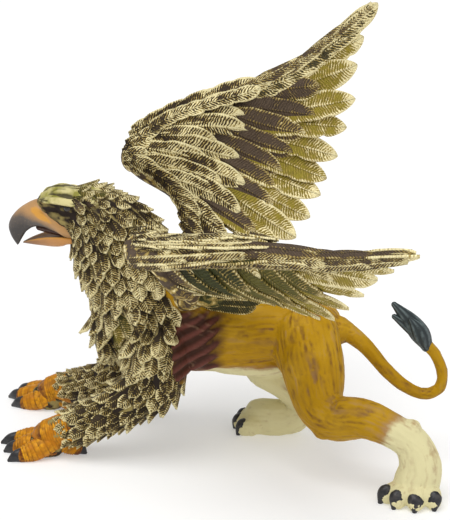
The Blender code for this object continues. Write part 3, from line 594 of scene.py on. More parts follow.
def hidePaint(look):
    material, kit = newMaterial("ochre hide")
    fields = ("fur", "rib", "wave", "scar", "cream", "coat", "crown")
    fur, rib, wave, scar, cream, coat, crown = [kit.attribute(field) for field in fields]
    broad = kit.noise(kit.here, 70.0, 3.0)
    patch = kit.noise(kit.here, 240.0, 3.0)
    fine = kit.noise(kit.here, 900.0, 2.0)
    colour = kit.mix(broad.ramp(0.45, 0.72) * 0.55, look["ochre"], look["ochreLight"])
    colour = kit.mix((1 - fur).ramp(0.45, 0.85) * (0.25 + patch.ramp(0.42, 0.62) * 0.6), colour,
                     look["ochreDark"])
    colour = kit.mix(scar * 0.6, colour, look["mauve"])
    edge = (rib * 1.2 + (broad - 0.5) * 0.7 + (patch - 0.5) * 0.25 + (fur - 0.5) * 0.1).ramp(0.12, 0.68)
    ribTone = kit.mix(wave.ramp(0.2, 1.0), look["maroon"], (0.135, 0.042, 0.030))
    colour = kit.mix(edge, colour, ribTone)
    edge = (cream + (broad - 0.5) * 0.7 + (fur - 0.5) * 0.35 + (patch - 0.5) * 0.3).ramp(0.35, 0.6)
    rim = (cream + (broad - 0.5) * 0.6 + (fur - 0.5) * 0.5).ramp(0.1, 0.45)
    colour = kit.mix(rim * 0.7, colour, look["creamDark"])
    pale = kit.mix((1 - fur).ramp(0.55, 1.0) * patch.ramp(0.4, 0.65) * 0.75, look["cream"], look["creamDark"])
    colour = kit.mix(edge, colour, pale)
    # near-black with gold strokes: the face's own paint on the head, and painted shade on the skin between
    # the coat's feathers
    face = kit.mix((fur + patch - 0.5).ramp(0.45, 0.85) * 0.7, look["under"], look["faceGold"])
    olive = kit.mix(patch.ramp(0.35, 0.6), (0.27, 0.25, 0.045), (0.62, 0.55, 0.26))
    olive = kit.mix((fur + patch - 0.5).ramp(0.6, 0.95) * 0.6, olive, (0.72, 0.63, 0.30))
    olive = kit.mix((1 - fur).ramp(0.5, 0.75) * 0.85, olive, look["under"])
    face = kit.mix((crown + (patch - 0.5) * 0.4).ramp(0.35, 0.6), face, olive)
    # where the feather coat lies, the skin takes the dark colour as painted shade in the gaps; on the head it
    # is the face's paint
    colour = kit.mix(coat, colour, face)
    rough = 0.40 + broad * 0.2
    kit.finish(colour, rough, bump=fur * 0.8 + fine * 0.25, strength=0.8, distance=0.0003, coat=0.02,
               gloss=0.12)
    return material


hide, skin = hidePiece(hideLook)
print("hide triangles", triangles(hide))
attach(hide, "root")
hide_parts("body")

print("stage: beak, eyes, claws and forefeet")
beakLook = {
    # each row: ridge x, ridge z, cutting edge x, edge z, half width
    "upper": [(-60.0, 87.6, -51.5, 76.6, 7.4), (-65.4, 87.8, -55.8, 77.2, 7.4),
              (-68.2, 87.5, -58.6, 78.4, 6.8), (-71.4, 85.9, -61.9, 79.4, 6.0),
              (-74.3, 83.7, -64.9, 79.8, 5.1), (-76.6, 80.7, -67.6, 79.2, 4.1),
              (-77.4, 77.8, -69.6, 77.9, 3.1), (-76.8, 75.0, -71.7, 75.9, 2.1),
              (-75.8, 72.9, -73.0, 73.9, 1.2), (-74.6, 71.2, -74.2, 71.6, 0.3)],
    "lower": [(-52.0, 73.4, -51.5, 76.4, 6.6), (-56.1, 72.9, -56.1, 76.5, 6.2),
              (-58.2, 72.0, -59.6, 76.3, 5.6), (-61.2, 71.6, -63.3, 75.8, 4.6),
              (-64.8, 71.7, -67.1, 74.8, 3.4), (-68.9, 71.9, -70.3, 73.6, 2.1),
              (-72.6, 72.1, -72.5, 72.6, 0.4)],
    "mouth": [(-51.5, 0.0, 77.0, 5.6, 2.2), (-57.0, 0.0, 77.4, 5.2, 1.9), (-62.0, 0.0, 78.0, 4.0, 1.9),
              (-66.5, 0.0, 78.2, 2.2, 1.3)],
    "horn": (0.045, 0.038, 0.034), "grey": (0.11, 0.088, 0.072), "tan": (0.45, 0.25, 0.10),
    "orange": (0.66, 0.31, 0.035), "inside": (0.045, 0.014, 0.008),
}


def hornShell(rows, down, steps=64, arch=28, floor=8):
    # horn between a ridge line and its two cutting edges; tags: along, height over the edge
    t = np.linspace(0, 1, steps)
    data = curveAt(rows, t)
    ridge = np.stack([data[:, 0], 0 * t, data[:, 1]], -1)
    edge = np.stack([data[:, 2], 0 * t, data[:, 3]], -1)
    a = np.linspace(0, math.pi, arch)
    high = np.sin(a) ** 0.85
    across = np.sign(np.cos(a)) * np.abs(np.cos(a)) ** 0.8
    b = np.linspace(0, 1, floor + 2)[1:-1]
    high = np.concatenate([high, 0.22 * np.sin(b * math.pi)])
    across = np.concatenate([across, -1 + 2 * b])
    ring = edge[:, None, :] + (ridge - edge)[:, None, :] * high[None, :, None]
    ring[:, :, 1] = data[:, 4:5] * across[None, :]
    count = len(high)
    verts = ring.reshape(-1, 3)
    faces = []
    for r in range(steps - 1):
        for k in range(count):
            n = (k + 1) % count
            face = (r * count + k, r * count + n, (r + 1) * count + n, (r + 1) * count + k)
            faces.append(face if down else face[::-1])
    faces.append(tuple(range(count)) if not down else tuple(reversed(range(count))))
    last = [(steps - 1) * count + k for k in range(count)]
    faces.append(tuple(last) if down else tuple(reversed(last)))
    tags = np.stack(np.broadcast_arrays(t[:, None], high[None, :]), -1).reshape(-1, 2)
    return verts, faces, tags


def beakPiece(look):
    upper = hornShell(look["upper"], False)
    lower = hornShell(look["lower"], True, 40)
    mouth = tube(look["mouth"], 24, 20)
    verts, faces, tags = gather([upper, lower, mouth])
    kind = np.concatenate([np.zeros(len(upper[0])), np.ones(len(lower[0])), np.full(len(mouth[0]), 2.0)])
    # nostril slit
    pit = np.linalg.norm((np.abs(verts) - np.array([63.6, 5.4, 85.0])) / np.array([1.6, 3.0, 0.55]), axis=1)
    pit = np.clip(1 - pit, 0, 1) * (kind == 0)
    verts[:, 1] -= np.sign(verts[:, 1]) * pit * 1.2
    obj = newObject("beak", verts, faces, {"along": tags[:, 0], "high": tags[:, 1], "kind": kind, "pit": pit})
    outward(obj)
    material, kit = newMaterial("painted beak")
    along = kit.attribute("along")
    high = kit.attribute("high")
    kind = kit.attribute("kind")
    pit = kit.attribute("pit")
    cloud = kit.noise(kit.here, 230.0, 3.0)
    grain = kit.noise(kit.here, 1500.0, 2.0)
    shade = along * 1.15 + (1 - high) * 0.22 + (cloud - 0.5) * 0.22
    up = kit.make("ShaderNodeValToRGB", {"stops": [(0.22, (0.47, 0.25, 0.085)), (0.42, look["tan"]),
                                                   (0.62, look["grey"]), (0.85, look["horn"])]}, Fac=shade)
    spot = (1 - (along - 0.22).abs().ramp(0.04, 0.13)) * (1 - (high - 0.62).abs().ramp(0.12, 0.34))
    up = kit.mix((spot + cloud - 0.5).ramp(0.35, 0.6) * 0.85, up, look["orange"])
    low = kit.make("ShaderNodeValToRGB", {"stops": [(0.1, (0.62, 0.27, 0.05)), (0.5, (0.50, 0.23, 0.07)),
                                                    (0.95, (0.17, 0.08, 0.04))]},
                                                    Fac=along + (cloud - 0.5) * 0.2)
    low = kit.mix((1 - high.ramp(0.0, 0.2)) * 0.7, low, look["orange"])
    colour = kit.mix(kind.ramp(0.4, 0.6), up, low)
    colour = kit.mix(kind.ramp(1.4, 1.6), colour, look["inside"])
    colour = kit.mix(pit * 0.9, colour, look["inside"])
    colour = kit.mix(grain.ramp(0.6, 0.8) * 0.2, colour, (0.70, 0.45, 0.2))
    kit.finish(colour, 0.32 + cloud * 0.25, bump=cloud * 0.6 + grain * 0.4, strength=0.25, coat=0.1,
               gloss=0.4)
    obj.data.materials.append(material)
    return obj


eyeLook = {"radii": (1.5, 1.0, 1.25), "sunk": 0.15, "black": (0.008, 0.006, 0.005),
           "brown": (0.05, 0.025, 0.008)}


def eyesPiece(look):
    # each eye sits in its socket, wherever the skin runs
    parts = []
    co = coords(hide) / mm - np.array(place)
    x, z = hideLook["eye"]
    for side in (-1, 1):
        gap = np.hypot(co[:, 0] - x, co[:, 2] - z) + 9 * (co[:, 1] * side < 4)
        depth = abs(co[np.argmin(gap), 1])
        parts.append(ball((x, side * (depth - look["sunk"]), z), look["radii"], 16, 20))
    obj = newObject("eyes", *gather(parts)[:2])
    material, kit = newMaterial("lacquered eye")
    cloud = kit.noise(kit.here, 1400.0, 2.0)
    colour = kit.mix(cloud.ramp(0.5, 0.7), look["black"], look["brown"])
    kit.finish(colour, 0.12 + cloud * 0.06, coat=0.8)
    obj.data.materials.append(material)
    return obj


clawLook = {"fore": 3.6, "hind": 3.8, "hindLift": 1.3, "arch": 0.45, "slate": (0.018, 0.018, 0.02),
            "grey": (0.07, 0.062, 0.055)}


def clawsPiece(look):
    parts = []
    for key in ("foreLeft", "foreRight", "hindLeft", "hindRight"):
        radius = look[key[:4]]
        for toe in toes[key]:
            if key.startswith("hind"):
                x, y, z = toe[2]
                toe = [toe[0], toe[1], (x, y, z + look["hindLift"]), toe[3]]
            parts.append(clawTube(toe, radius, look["arch"]))
    verts, faces, tags = gather(parts)
    verts[:, 2] = np.maximum(verts[:, 2], 0.6)
    obj = newObject("claws", verts, faces, {"along": tags[:, 0]})
    material, kit = newMaterial("dark claw")
    along = kit.attribute("along")
    cloud = kit.noise(kit.here, 700.0, 3.0)
    colour = kit.mix(cloud.ramp(0.45, 0.7) * (1 - along), look["slate"], look["grey"])
    kit.finish(colour, 0.3 + cloud * 0.2, bump=cloud, strength=0.2, coat=0.3)
    obj.data.materials.append(material)
    return obj


footLook = {"radius": 3.3, "scutes": 11, "scuteDepth": 0.42, "cuff": 1.05, "orange": (0.52, 0.19, 0.003),
            "deep": (0.13, 0.035, 0.005), "pale": (0.78, 0.36, 0.012)}


def feetPiece(look):
    # scaly eagle toes: overlapping plates across the top of each toe
    parts = []
    r = look["radius"]

    def plates(t, angle):
        step = (t * look["scutes"]) % 1.0
        topside = np.clip(np.sin(angle) + 0.75, 0, 1)
        return (step - 0.5) * look["scuteDepth"] * topside

    for key in ("foreLeft", "foreRight"):
        leg = form[key]
        for toe in toes[key]:
            start, knuckle, quick = toe[:3]
            back = [start[i] * 1.25 - knuckle[i] * 0.25 for i in range(3)]
            path = [(*back, r * 1.0, r * 0.95), (*start, r * 1.1, r * 1.1), (*knuckle, r, r * 1.1),
                    (*quick, r * 0.74, r * 0.84)]
            parts.append(tube(path, 73, 30, relief=plates))
        shin = [leg[-2], leg[-1], (leg[-1][0] - 4, leg[-1][1], leg[-1][2] - 1.6, 5.4, 4.9)]
        cuff = [(x, y, z, wide * look["cuff"], high * look["cuff"]) for x, y, z, wide, high in shin]
        parts.append(tube(cuff, 60, 40, relief=plates))
        pad = form["pads"][2 if key == "foreLeft" else 3]
        parts.append(ball(pad[0], (pad[1][0] * 0.98, pad[1][1] * 0.98, pad[1][2] * 0.95), 16, 24))
    verts, faces, tags = gather(parts)
    low = verts[:, 2] < 0.6
    verts[low, 2] = 0.6
    plate = (tags[:, 0] * look["scutes"]) % 1.0
    obj = newObject("foreFeet", verts, faces, {"plate": plate})
    material, kit = newMaterial("scaly orange foot")
    plate = kit.attribute("plate")
    cells = kit.spots(kit.here, 620.0)
    cloud = kit.noise(kit.here, 300.0, 3.0)
    colour = kit.mix(cloud.ramp(0.35, 0.7), look["orange"], look["pale"])
    dark = (cells.ramp(0.35, 0.75) * 0.6 + (1 - plate.ramp(0.02, 0.3)) * 0.8).clamp() * cloud.ramp(0.25, 0.6)
    colour = kit.mix(dark, colour, look["deep"])
    height = plate * 0.6 - cells * 0.5
    kit.finish(colour, 0.4 + cloud * 0.15, bump=height, strength=1.0, distance=0.0005, coat=0.05,
               gloss=0.15)
    obj.data.materials.append(material)
    return obj


tuftLook = {
    "lobes": [[(66.6, 0.0, 42.6, 2.1, 2.1), (64.2, 0.6, 46.5, 3.5, 3.2), (60.6, 0.8, 51.0, 3.0, 2.7),
               (55.2, 0.8, 56.4, 1.0, 1.0)],
              [(66.2, -0.6, 43.4, 2.0, 1.8), (64.0, -1.6, 48.0, 2.8, 2.6), (61.0, -2.0, 52.2, 1.0, 1.0)],
              [(66.0, 0.0, 43.0, 1.8, 1.8), (61.6, 0.2, 48.4, 2.4, 2.2), (55.4, 0.2, 52.4, 0.9, 0.9)]],
    "locks": 7, "lockDepth": 0.5, "slate": (0.022, 0.030, 0.032), "light": (0.10, 0.13, 0.13),
}


def tuftPiece(look):
    def locks(t, angle):
        wave = np.abs(np.sin(angle * look["locks"] / 2 + t * 2.5)) - 0.6
        return wave * look["lockDepth"] * np.clip(t * 4, 0, 1) * np.clip((1 - t) * 4, 0.2, 1)

    verts, faces, tags = gather([tube(lobe, 50, 48, relief=locks) for lobe in look["lobes"]])
    verts[:, 0] -= 0.8
    lock = np.abs(np.sin(tags[:, 1] * look["locks"] / 2 + tags[:, 0] * 2.5))
    obj = newObject("tailTuft", verts, faces, {"lock": lock})
    material, kit = newMaterial("slate tuft")
    lock = kit.attribute("lock")
    cloud = kit.noise(kit.here, 500.0, 3.0)
    colour = kit.mix(lock.ramp(0.55, 0.98) * cloud.ramp(0.3, 0.6), look["slate"], look["light"])
    kit.finish(colour, 0.42 + cloud * 0.2, bump=lock + cloud * 0.4, strength=0.4, coat=0.1)
    obj.data.materials.append(material)
    return obj


for piece, slotName in ((beakPiece(beakLook), "painted_hide"), (eyesPiece(eyeLook), "painted_hide"),
                        (clawsPiece(clawLook), "painted_hide"), (feetPiece(footLook), "painted_hide"),
                        (tuftPiece(tuftLook), "painted_hide")):
    print(piece.name, "triangles", triangles(piece))
    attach(piece, "root")
    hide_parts("body")

print("stage: feather paint")
giltLook = {
    # darkest brown: painted shade at each feather's covered root, and the dark paint between the barbs
    "shadeAndGroove": (0.012, 0.008, 0.004), "gold": (0.43, 0.305, 0.085), "pale": (0.97, 0.86, 0.49),
    "tones": [(0.0, (0.030, 0.021, 0.011)), (0.35, (0.125, 0.088, 0.060)), (0.6, (0.050, 0.055, 0.016)),
              (1.0, (0.33, 0.262, 0.035))],
    "barbPitch": 0.80,
}


def featherPaint(name, look):
    # leaf: across -1 to 1, along 0 to 1, length in mm; tint: strength of the gold
    # tone: 0 dark brown, then umber, green and yellow-green
    material, kit = newMaterial(name)
    across, along, length = kit.parts(kit.attribute("leaf", "Vector"))
    tint = kit.attribute("tint")
    tone = kit.attribute("tone")
    reach = along * length
    out = across.abs()
    cloud = kit.noise(kit.here, 300.0, 4.0, 0.6)
    wide = kit.noise(kit.here, 100.0, 2.0)
    fine = kit.noise(kit.join(across * 2.2, reach * 0.45, tint * 31.0), 1.6, 3.0, 0.6)
    slant = reach / look["barbPitch"] - out * 2.3 + fine * 1.7
    barb = ((slant * 6.2832).sin() * 0.5 + 0.5).ramp(0.2, 0.85)
    shaft = 1 - out.ramp(0.04, 0.13)
    rim = out.ramp(0.74, 0.93).upper(along.ramp(0.88, 0.97))
    tip = along.ramp(0.25, 0.85)
    base = kit.make("ShaderNodeValToRGB", {"stops": look["tones"]}, Fac=tone)
    # painted shade: each feather turns darker towards its root, where the row above covers it; then the dark
    # paint in the grooves between the barbs
    base = kit.mix((1 - along.ramp(0.05, 0.35)) * 0.9, base, look["shadeAndGroove"])
    base = kit.mix((1 - barb) * 0.6 * cloud.ramp(0.3, 0.65), base, look["shadeAndGroove"])
    brush = barb * 0.44 + rim * 0.55 + shaft * 0.3 + tip * 0.40
    brush = (brush + (wide - 0.5) * 0.9 + (cloud - 0.5) * 1.6 + (fine - 0.5) * 0.7) * tint
    colour = kit.mix(brush.ramp(0.52, 0.80), base, look["gold"])
    colour = kit.mix(brush.ramp(0.78, 1.15), colour, look["pale"])
    gilt = brush.ramp(0.5, 0.9)
    height = barb * 0.55 + shaft * 1.2 + rim * 0.9
    kit.finish(colour, 0.55 - gilt * 0.14 + cloud * 0.08, bump=height, strength=1.0, distance=0.0004,
               metal=gilt * 0.2, gloss=0.12)
    return material


giltPaint = featherPaint("gilt feather", giltLook)

print("stage: neck and foreleg feathers")
coatLook = {"gap": 3.7, "length": 10.6, "width": 5.1, "rise": 0.29, "pull": 0.4, "ruffle": 0.16, "seed": 11}


def leafMesh(name, columns=4, rows=6, thick=0.17, curl=0.08, dome=0.24):
    # one feather 1 long and 1 wide, root at the origin, pointing along +Y, face up
    verts, leaf = [], []
    for j in range(rows + 1):
        v = j / rows
        wide = (0.5 + 0.5 * min(v / 0.35, 1.0) ** 0.8) * (1 - max((v - 0.6) / 0.4, 0.0) ** 2.4) ** 0.55
        wide = max(wide, 0.06)
        for i in range(columns + 1):
            u = -1 + 2 * i / columns
            lift = curl * v * v - dome * u * u * wide + 0.06 * (u == 0) * (1 - v)
            verts.append((u * wide * 0.5, v * (1 - 0.05 * u * u), lift))
            leaf.append((u, v, 1.0))
    ring = rimRing(columns, rows)
    low = {}
    for i in ring:
        x, y, z = verts[i]
        low[i] = len(verts)
        verts.append((x * 0.93, y, z - thick))
        leaf.append(leaf[i])
    faces = []
    for j in range(rows):
        for i in range(columns):
            a = j * (columns + 1) + i
            b = a + columns + 1
            faces.append((a, a + 1, b + 1, b))
    for a, b in zip(ring, ring[1:] + ring[:1]):
        faces.append((b, a, low[a], low[b]))
    for j in range(rows):
        a = j * (columns + 1)
        b = a + columns + 1
        first, last = [low[a], low[b]], [low[a + columns], low[b + columns]]
        if j == 0:
            faces.append(tuple([low[i] for i in range(columns, -1, -1)] + first[1:] + last[1:]))
        elif j == rows - 1:
            faces.append(tuple(first + [low[b + i] for i in range(1, columns + 1)] + last[:1]))
        else:
            faces.append((first[0], first[1], last[1], last[0]))
    mesh = bpy.data.meshes.new(name)
    mesh.from_pydata(verts, [], faces)
    mesh.polygons.foreach_set("use_smooth", [True] * len(mesh.polygons))
    addAttribute(mesh, "leaf", leaf)
    obj = bpy.data.objects.new(name, mesh)
    bpy.context.scene.collection.objects.link(obj)
    return obj


def coatTree(leafObject):
    # feathers set on points, each turned by its own direction and facing
    tree = bpy.data.node_groups.new("feather coat", "GeometryNodeTree")
    face = tree.interface
    face.new_socket("Geometry", in_out="INPUT", socket_type="NodeSocketGeometry")
    face.new_socket("Geometry", in_out="OUTPUT", socket_type="NodeSocketGeometry")
    sizeIn = face.new_socket("Feather size", in_out="INPUT", socket_type="NodeSocketFloat")
    turnIn = face.new_socket("Ruffle", in_out="INPUT", socket_type="NodeSocketFloat")
    seedIn = face.new_socket("Seed", in_out="INPUT", socket_type="NodeSocketInt")
    kit = Kit(tree)
    start = kit.make("NodeGroupInput", output=None)
    end = kit.make("NodeGroupOutput", output=None)

    def given(name, kind):
        node = kit.make("GeometryNodeInputNamedAttribute", {"data_type": kind}, output=None)
        node.inputs["Name"].default_value = name
        return Sock(tree, node.outputs[0])

    source = kit.make("GeometryNodeObjectInfo", output=None)
    source.inputs["Object"].default_value = leafObject
    turn = kit.make("FunctionNodeAxesToRotation", {"primary_axis": "Z", "secondary_axis": "Y"},
                    i0=given("facing", "FLOAT_VECTOR"), i1=given("way", "FLOAT_VECTOR"))
    shake = kit.make("FunctionNodeRandomValue", {"data_type": "FLOAT"}, output=None)
    span = Sock(tree, start.outputs["Ruffle"])
    plug(tree, shake.inputs[2], span * -1.0)
    plug(tree, shake.inputs[3], span)
    plug(tree, shake.inputs["Seed"], Sock(tree, start.outputs["Seed"]))
    twist = Sock(tree, shake.outputs[1])
    spin = kit.make("FunctionNodeEulerToRotation", Euler=kit.join(0.0, twist * 0.6, twist))
    turned = kit.make("FunctionNodeRotateRotation", {"rotation_space": "LOCAL"}, i0=turn, i1=spin)
    size = kit.make("ShaderNodeVectorMath", {"operation": "SCALE"}, i0=given("size", "FLOAT_VECTOR"))
    plug(tree, size.out.node.inputs["Scale"], Sock(tree, start.outputs["Feather size"]))
    inst = kit.make("GeometryNodeInstanceOnPoints", Points=Sock(tree, start.outputs[0]),
                    Instance=Sock(tree, source.outputs["Geometry"]), Rotation=turned, Scale=size)
    real = kit.make("GeometryNodeRealizeInstances", Geometry=inst)
    final = kit.make("GeometryNodeSetMaterial", Geometry=real, Material=giltPaint)
    plug(tree, end.inputs[0], final)
    return tree, sizeIn.identifier, turnIn.identifier, seedIn.identifier


def coatPoints(look):
    # roots spread evenly over the skin, none closer to another than its own gap
    co, normal, leg = skin
    size = coatSize(co, leg)
    apart = look["gap"] * size * (1 + 0.14 * np.clip(leg / 0.3, 0, 1))
    inside = np.nonzero(size > 0)[0]
    shake = np.random.default_rng(look["seed"])
    shake.shuffle(inside)
    cells, taken = {}, []
    for i in inside:
        spot = co[i]
        gap = apart[i]
        cell = tuple(np.floor(spot / look["gap"]).astype(int))
        free = True
        for dx in (-1, 0, 1):
            for dy in (-1, 0, 1):
                for dz in (-1, 0, 1):
                    for other in cells.get((cell[0] + dx, cell[1] + dy, cell[2] + dz), ()):
                        if free and np.sum((co[other] - spot) ** 2) < gap * gap:
                            free = False
        if free:
            cells.setdefault(cell, []).append(i)
            taken.append(i)
    taken = np.array(taken)
    return co[taken], normal[taken], size[taken], shake.random(len(taken))


def coatPiece(look):
    spot, facing, size, chance = coatPoints(look)
    way, leg = flowField(spot, look["pull"])
    way = unit(way - facing * np.sum(way * facing, axis=1, keepdims=True))
    size = size * (0.84 + 0.36 * chance)
    onLeg = np.clip(leg / 0.3, 0, 1)
    length = look["length"] * size * (1 - 0.2 * onLeg)
    verts = spot - facing * 0.45 - way * (length * 0.38)[:, None]
    x, z = spot[:, 0], spot[:, 2]
    nape = np.clip((z - 74) / 10, 0, 1) * np.clip((facing[:, 2] - 0.1) / 0.4, 0, 1)
    way = unit(way + facing * (look["rise"] * (1 - 0.35 * nape))[:, None])
    facing = unit(facing - way * np.sum(facing * way, axis=1, keepdims=True))
    scale = np.stack([look["width"] * size, length, look["width"] * size], -1) * mm
    crown = np.clip((z - 88) / 3, 0, 1) * (x < -46) * 0.6
    patch = near(spot, (-37, -14, 47), (6, 9, 8)) * 0.75 * (chance > 0.3)
    tone = np.clip(0.1 * chance + crown + patch, 0, 1)
    shade = np.clip((z - 42) / 25, 0, 1) * np.clip((x + 62) / 12, 0, 1)
    tint = 1.02 + 0.4 * ((chance * 7.3) % 1.0) - 0.2 * patch + 0.03 * shade - 0.1 * onLeg
    obj = newObject("coatPoints", verts, [], {"way": way, "facing": facing, "size": scale,
                                              "tint": tint, "tone": tone, "long": length}, False)
    leaf = leafMesh("leafOne")
    tree, sizeKey, turnKey, seedKey = coatTree(leaf)
    setter = obj.modifiers.new("coat", "NODES")
    setter.node_group = tree
    setter[sizeKey] = 1.0
    setter[turnKey] = look["ruffle"]
    setter[seedKey] = look["seed"]
    obj = baked(obj, "featherCoat")
    bpy.data.objects.remove(leaf)
    mesh = obj.data
    leafData = np.empty(len(mesh.vertices) * 3, np.float32)
    mesh.attributes["leaf"].data.foreach_get("vector", leafData)
    longData = np.empty(len(mesh.vertices), np.float32)
    mesh.attributes["long"].data.foreach_get("value", longData)
    leafData = leafData.reshape(-1, 3)
    leafData[:, 2] = longData
    mesh.attributes["leaf"].data.foreach_set("vector", leafData.ravel())
    return obj


coat = coatPiece(coatLook)
print("feather coat triangles", triangles(coat))
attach(coat, "root")
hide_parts("body")

print("stage: wings")
wingLook = {
    "rootY": 9.0, "rootZ": 60.0, "raised": math.radians(66.0), "raisedCamber": 0.55,
    "leadEdge": [(-18, 3), (-20, 15), (-23, 25), (-33, 32), (-41, 36), (-43, 41), (-40, 48), (-33, 54),
                 (-19, 60), (-5, 65), (9, 70), (17, 77), (24, 82), (31, 89), (36, 93), (42, 98)],
    "flightTip": [(43, 98), (39, 85), (37, 74), (36, 62), (33, 50), (30, 41), (27, 33), (24, 25), (20, 16),
                  (12, 12)],
    "flightBase": [(11, 66), (6, 65), (3, 61), (1, 57), (-2, 53), (-4, 49), (-6, 45), (-8, 40), (-10, 34),
                   (-13, 28)],
    "greatTip": [(24, 76), (25, 67), (23, 57), (18, 49), (15, 42), (11, 35), (11, 28), (6, 18), (4, 9)],
    "greatBase": [(-1, 65), (-3, 62), (-5, 59), (-7, 55), (-10, 50), (-12, 45), (-14, 40), (-16, 30),
                  (-14, 14)],
    "middleTip": [(6, 68), (0, 63), (0, 57), (1, 51), (-2, 42), (1, 33), (0, 24), (-5, 14), (-5, 5)],
    "middleBase": [(-15, 61), (-17, 57), (-19, 55), (-22, 51), (-24, 46), (-24, 41), (-22, 35), (-20, 25),
                   (-18, 11)],
    "smallTip": [(-15, 61), (-16, 57), (-16, 51), (-17, 45), (-19, 38), (-15, 35), (-11, 29), (-10, 20),
                 (-10, 8)],
    "smallBase": [(-31, 54), (-32, 52), (-34, 49), (-35, 45), (-35, 41), (-32, 37), (-27, 33), (-21, 25),
                  (-19, 14)],
    "wristTip": [(-30, 55), (-30, 51), (-31, 47), (-31, 43), (-31, 39), (-29, 35)],
    "wristBase": [(-39, 49), (-40, 47), (-41, 44), (-42, 41), (-41, 38), (-37, 36)],
    "edgeBase": [(-4, 62), (-12, 59.5), (-20, 57), (-26.5, 54), (-32, 50.5), (-37, 46), (-39.5, 41.5),
                 (-37.5, 38), (-31.5, 35), (-23.5, 28), (-19.5, 18), (-17, 8)],
    "edgeTip": [(5, 66), (-4, 62.5), (-12, 60), (-19, 57.5), (-25, 54.5), (-30, 49.5), (-32.5, 42.5),
                (-31, 36.5), (-26, 31), (-19, 24), (-14, 14), (-12, 4)],
    "innerBase": [(-38, 38.5), (-33, 36), (-27, 32), (-22.5, 26.5), (-20, 19), (-18.5, 11), (-17.5, 4)],
    "innerTip": [(-30, 37), (-25, 33), (-18.5, 28), (-14.5, 21.5), (-12.5, 13.5), (-11.5, 6), (-10.5, 0)],
    "webFront": [(24, 80), (9, 67), (-18, 57), (-36, 45), (-28, 36), (-15, 18), (-12, 6)],
    "webRear": [(22, 79), (12, 66), (8, 54), (3, 42), (-2, 28), (-7, 14), (-10, 5)],
    "handTip": [(42.5, 97), (37, 89.5), (28.5, 80.5), (21.5, 74.5), (13.5, 68.5)],
    "handBase": [(31, 85.5), (23.5, 78), (15.5, 72), (8.5, 67.5), (1.5, 64)],
    "rowLift": 0.15, "edgeLift": 0.35,
    # arm: half width and half height at the wrist, and what each loses to the tip
    "arm": ((3.6, 2.4), (5.2, 4.5)), "armDrop": 1.2,
    "shingle": {"steps": 11, "turns": (-62, -14, 34, 78), "start": 0.36, "span": 0.54, "reach": 0.13,
                "width": 5.6},
    "rootSwell": ((-5.0, 13.0, 62.5), (10.0, 4.2, 5.6)),
    "rootFeathers": [((-11.0, 12.5, 59.5), (10.0, 16.5, 58.8)), ((-11.0, 13.5, 61.5), (12.5, 17.5, 62.0)),
                     ((-10.0, 14.5, 63.5), (13.0, 18.5, 65.0)), ((-9.0, 15.0, 65.5), (12.5, 19.0, 68.0))],
}


def between(a, b, f):
    return [(p[0] * (1 - f) + q[0] * f, p[1] * (1 - f) + q[1] * f) for p, q in zip(a, b)]


def wingRows(look):
    # base curve, tip curve, count, width, thickness, height over the plan, gold, tone
    return [
        (look["flightBase"], look["flightTip"], 11, 9.2, 0.9, 0.0, 1.1, 1.0),
        (look["greatBase"], look["greatTip"], 10, 8.4, 0.9, 1.0, 0.72, 0.33),
        (look["middleBase"], look["middleTip"], 9, 8.2, 0.9, 2.0, 1.5, 0.1),
        (between(look["smallBase"], look["middleBase"], 0.45),
         between(look["smallTip"], look["middleTip"], 0.42),
         9, 7.4, 0.9, 2.5, 1.45, 0.08),
        (look["smallBase"], look["smallTip"], 8, 6.8, 0.9, 2.9, 1.5, 0.08),
        (between(look["wristBase"], look["smallBase"][:6], 0.4),
         between(look["wristTip"], look["smallTip"][:6], 0.4),
         6, 6.2, 0.8, 3.2, 1.45, 0.08),
        (look["wristBase"], look["wristTip"], 6, 5.4, 0.8, 3.6, 1.4, 0.08),
        (look["edgeBase"], look["edgeTip"], 17, 5.0, 0.8, 4.2, 1.4, 0.08),
        (look["innerBase"], look["innerTip"], 13, 5.2, 0.9, 4.8, 1.3, 0.1),
        (look["handBase"], look["handTip"], 6, 5.4, 0.9, 2.0, 1.4, 0.5),
        (look["greatBase"], look["greatTip"], 10, 8.4, 0.9, -1.3, 0.8, 0.7),
        (look["middleBase"], look["middleTip"], 10, 7.8, 0.9, -2.4, 0.85, 0.6),
        (look["smallBase"], look["smallTip"], 10, 6.4, 0.9, -3.2, 1.1, 0.3),
    ]


def wingHeight(x, out):
    back = (x + 43.0) * 0.564 - (out - 40.0) * 0.826
    hold = np.clip((out - 4.0) / 38.0, 0.3, 1.0)
    crest = 8.0 * np.exp(-((back - 6.5) / 7.0) ** 2)
    crest = crest * np.clip((80.0 - out) / 25.0, 0.0, 1.0) * np.clip((out - 10.0) / 20.0, 0.0, 1.0)
    return crest - 0.38 * np.maximum(back, 0.0) * hold


def wingPlace(look, lowered, x, out, above):
    height = wingHeight(x, out)
    if lowered:
        hang = np.clip((x - 8) / 25, 0, 1)
        low = 67.0 + 0.4 * out + height - 1.8 * hang * np.clip((75 - out) / 30, 0, 1)
        spot = np.stack([0.9 * x + 0.3 * out - 3.5 * hang, -(look["rootY"] + 0.93 * out) + 0 * x, low], -1)
        return spot + np.asarray(above)[..., None] * np.array([0, 0.38, 0.925])
    height = height * look["raisedCamber"] + above
    y = look["rootY"] + out * math.cos(look["raised"]) - height * math.sin(look["raised"])
    z = look["rootZ"] + out * math.sin(look["raised"]) + height * math.cos(look["raised"])
    return np.stack([x + 0 * y, y, z], -1)


def slabFaces(columns, rows):
    # top grid, bottom grid and the rim between them
    faces = []
    step = (columns + 1) * (rows + 1)
    for j in range(rows):
        for i in range(columns):
            a = j * (columns + 1) + i
            b = a + columns + 1
            faces.append((a, a + 1, b + 1, b))
            faces.append((a + step, b + step, b + 1 + step, a + 1 + step))
    ring = rimRing(columns, rows)
    for a, b in zip(ring, ring[1:] + ring[:1]):
        faces.append((b, a, a + step, b + step))
    return faces


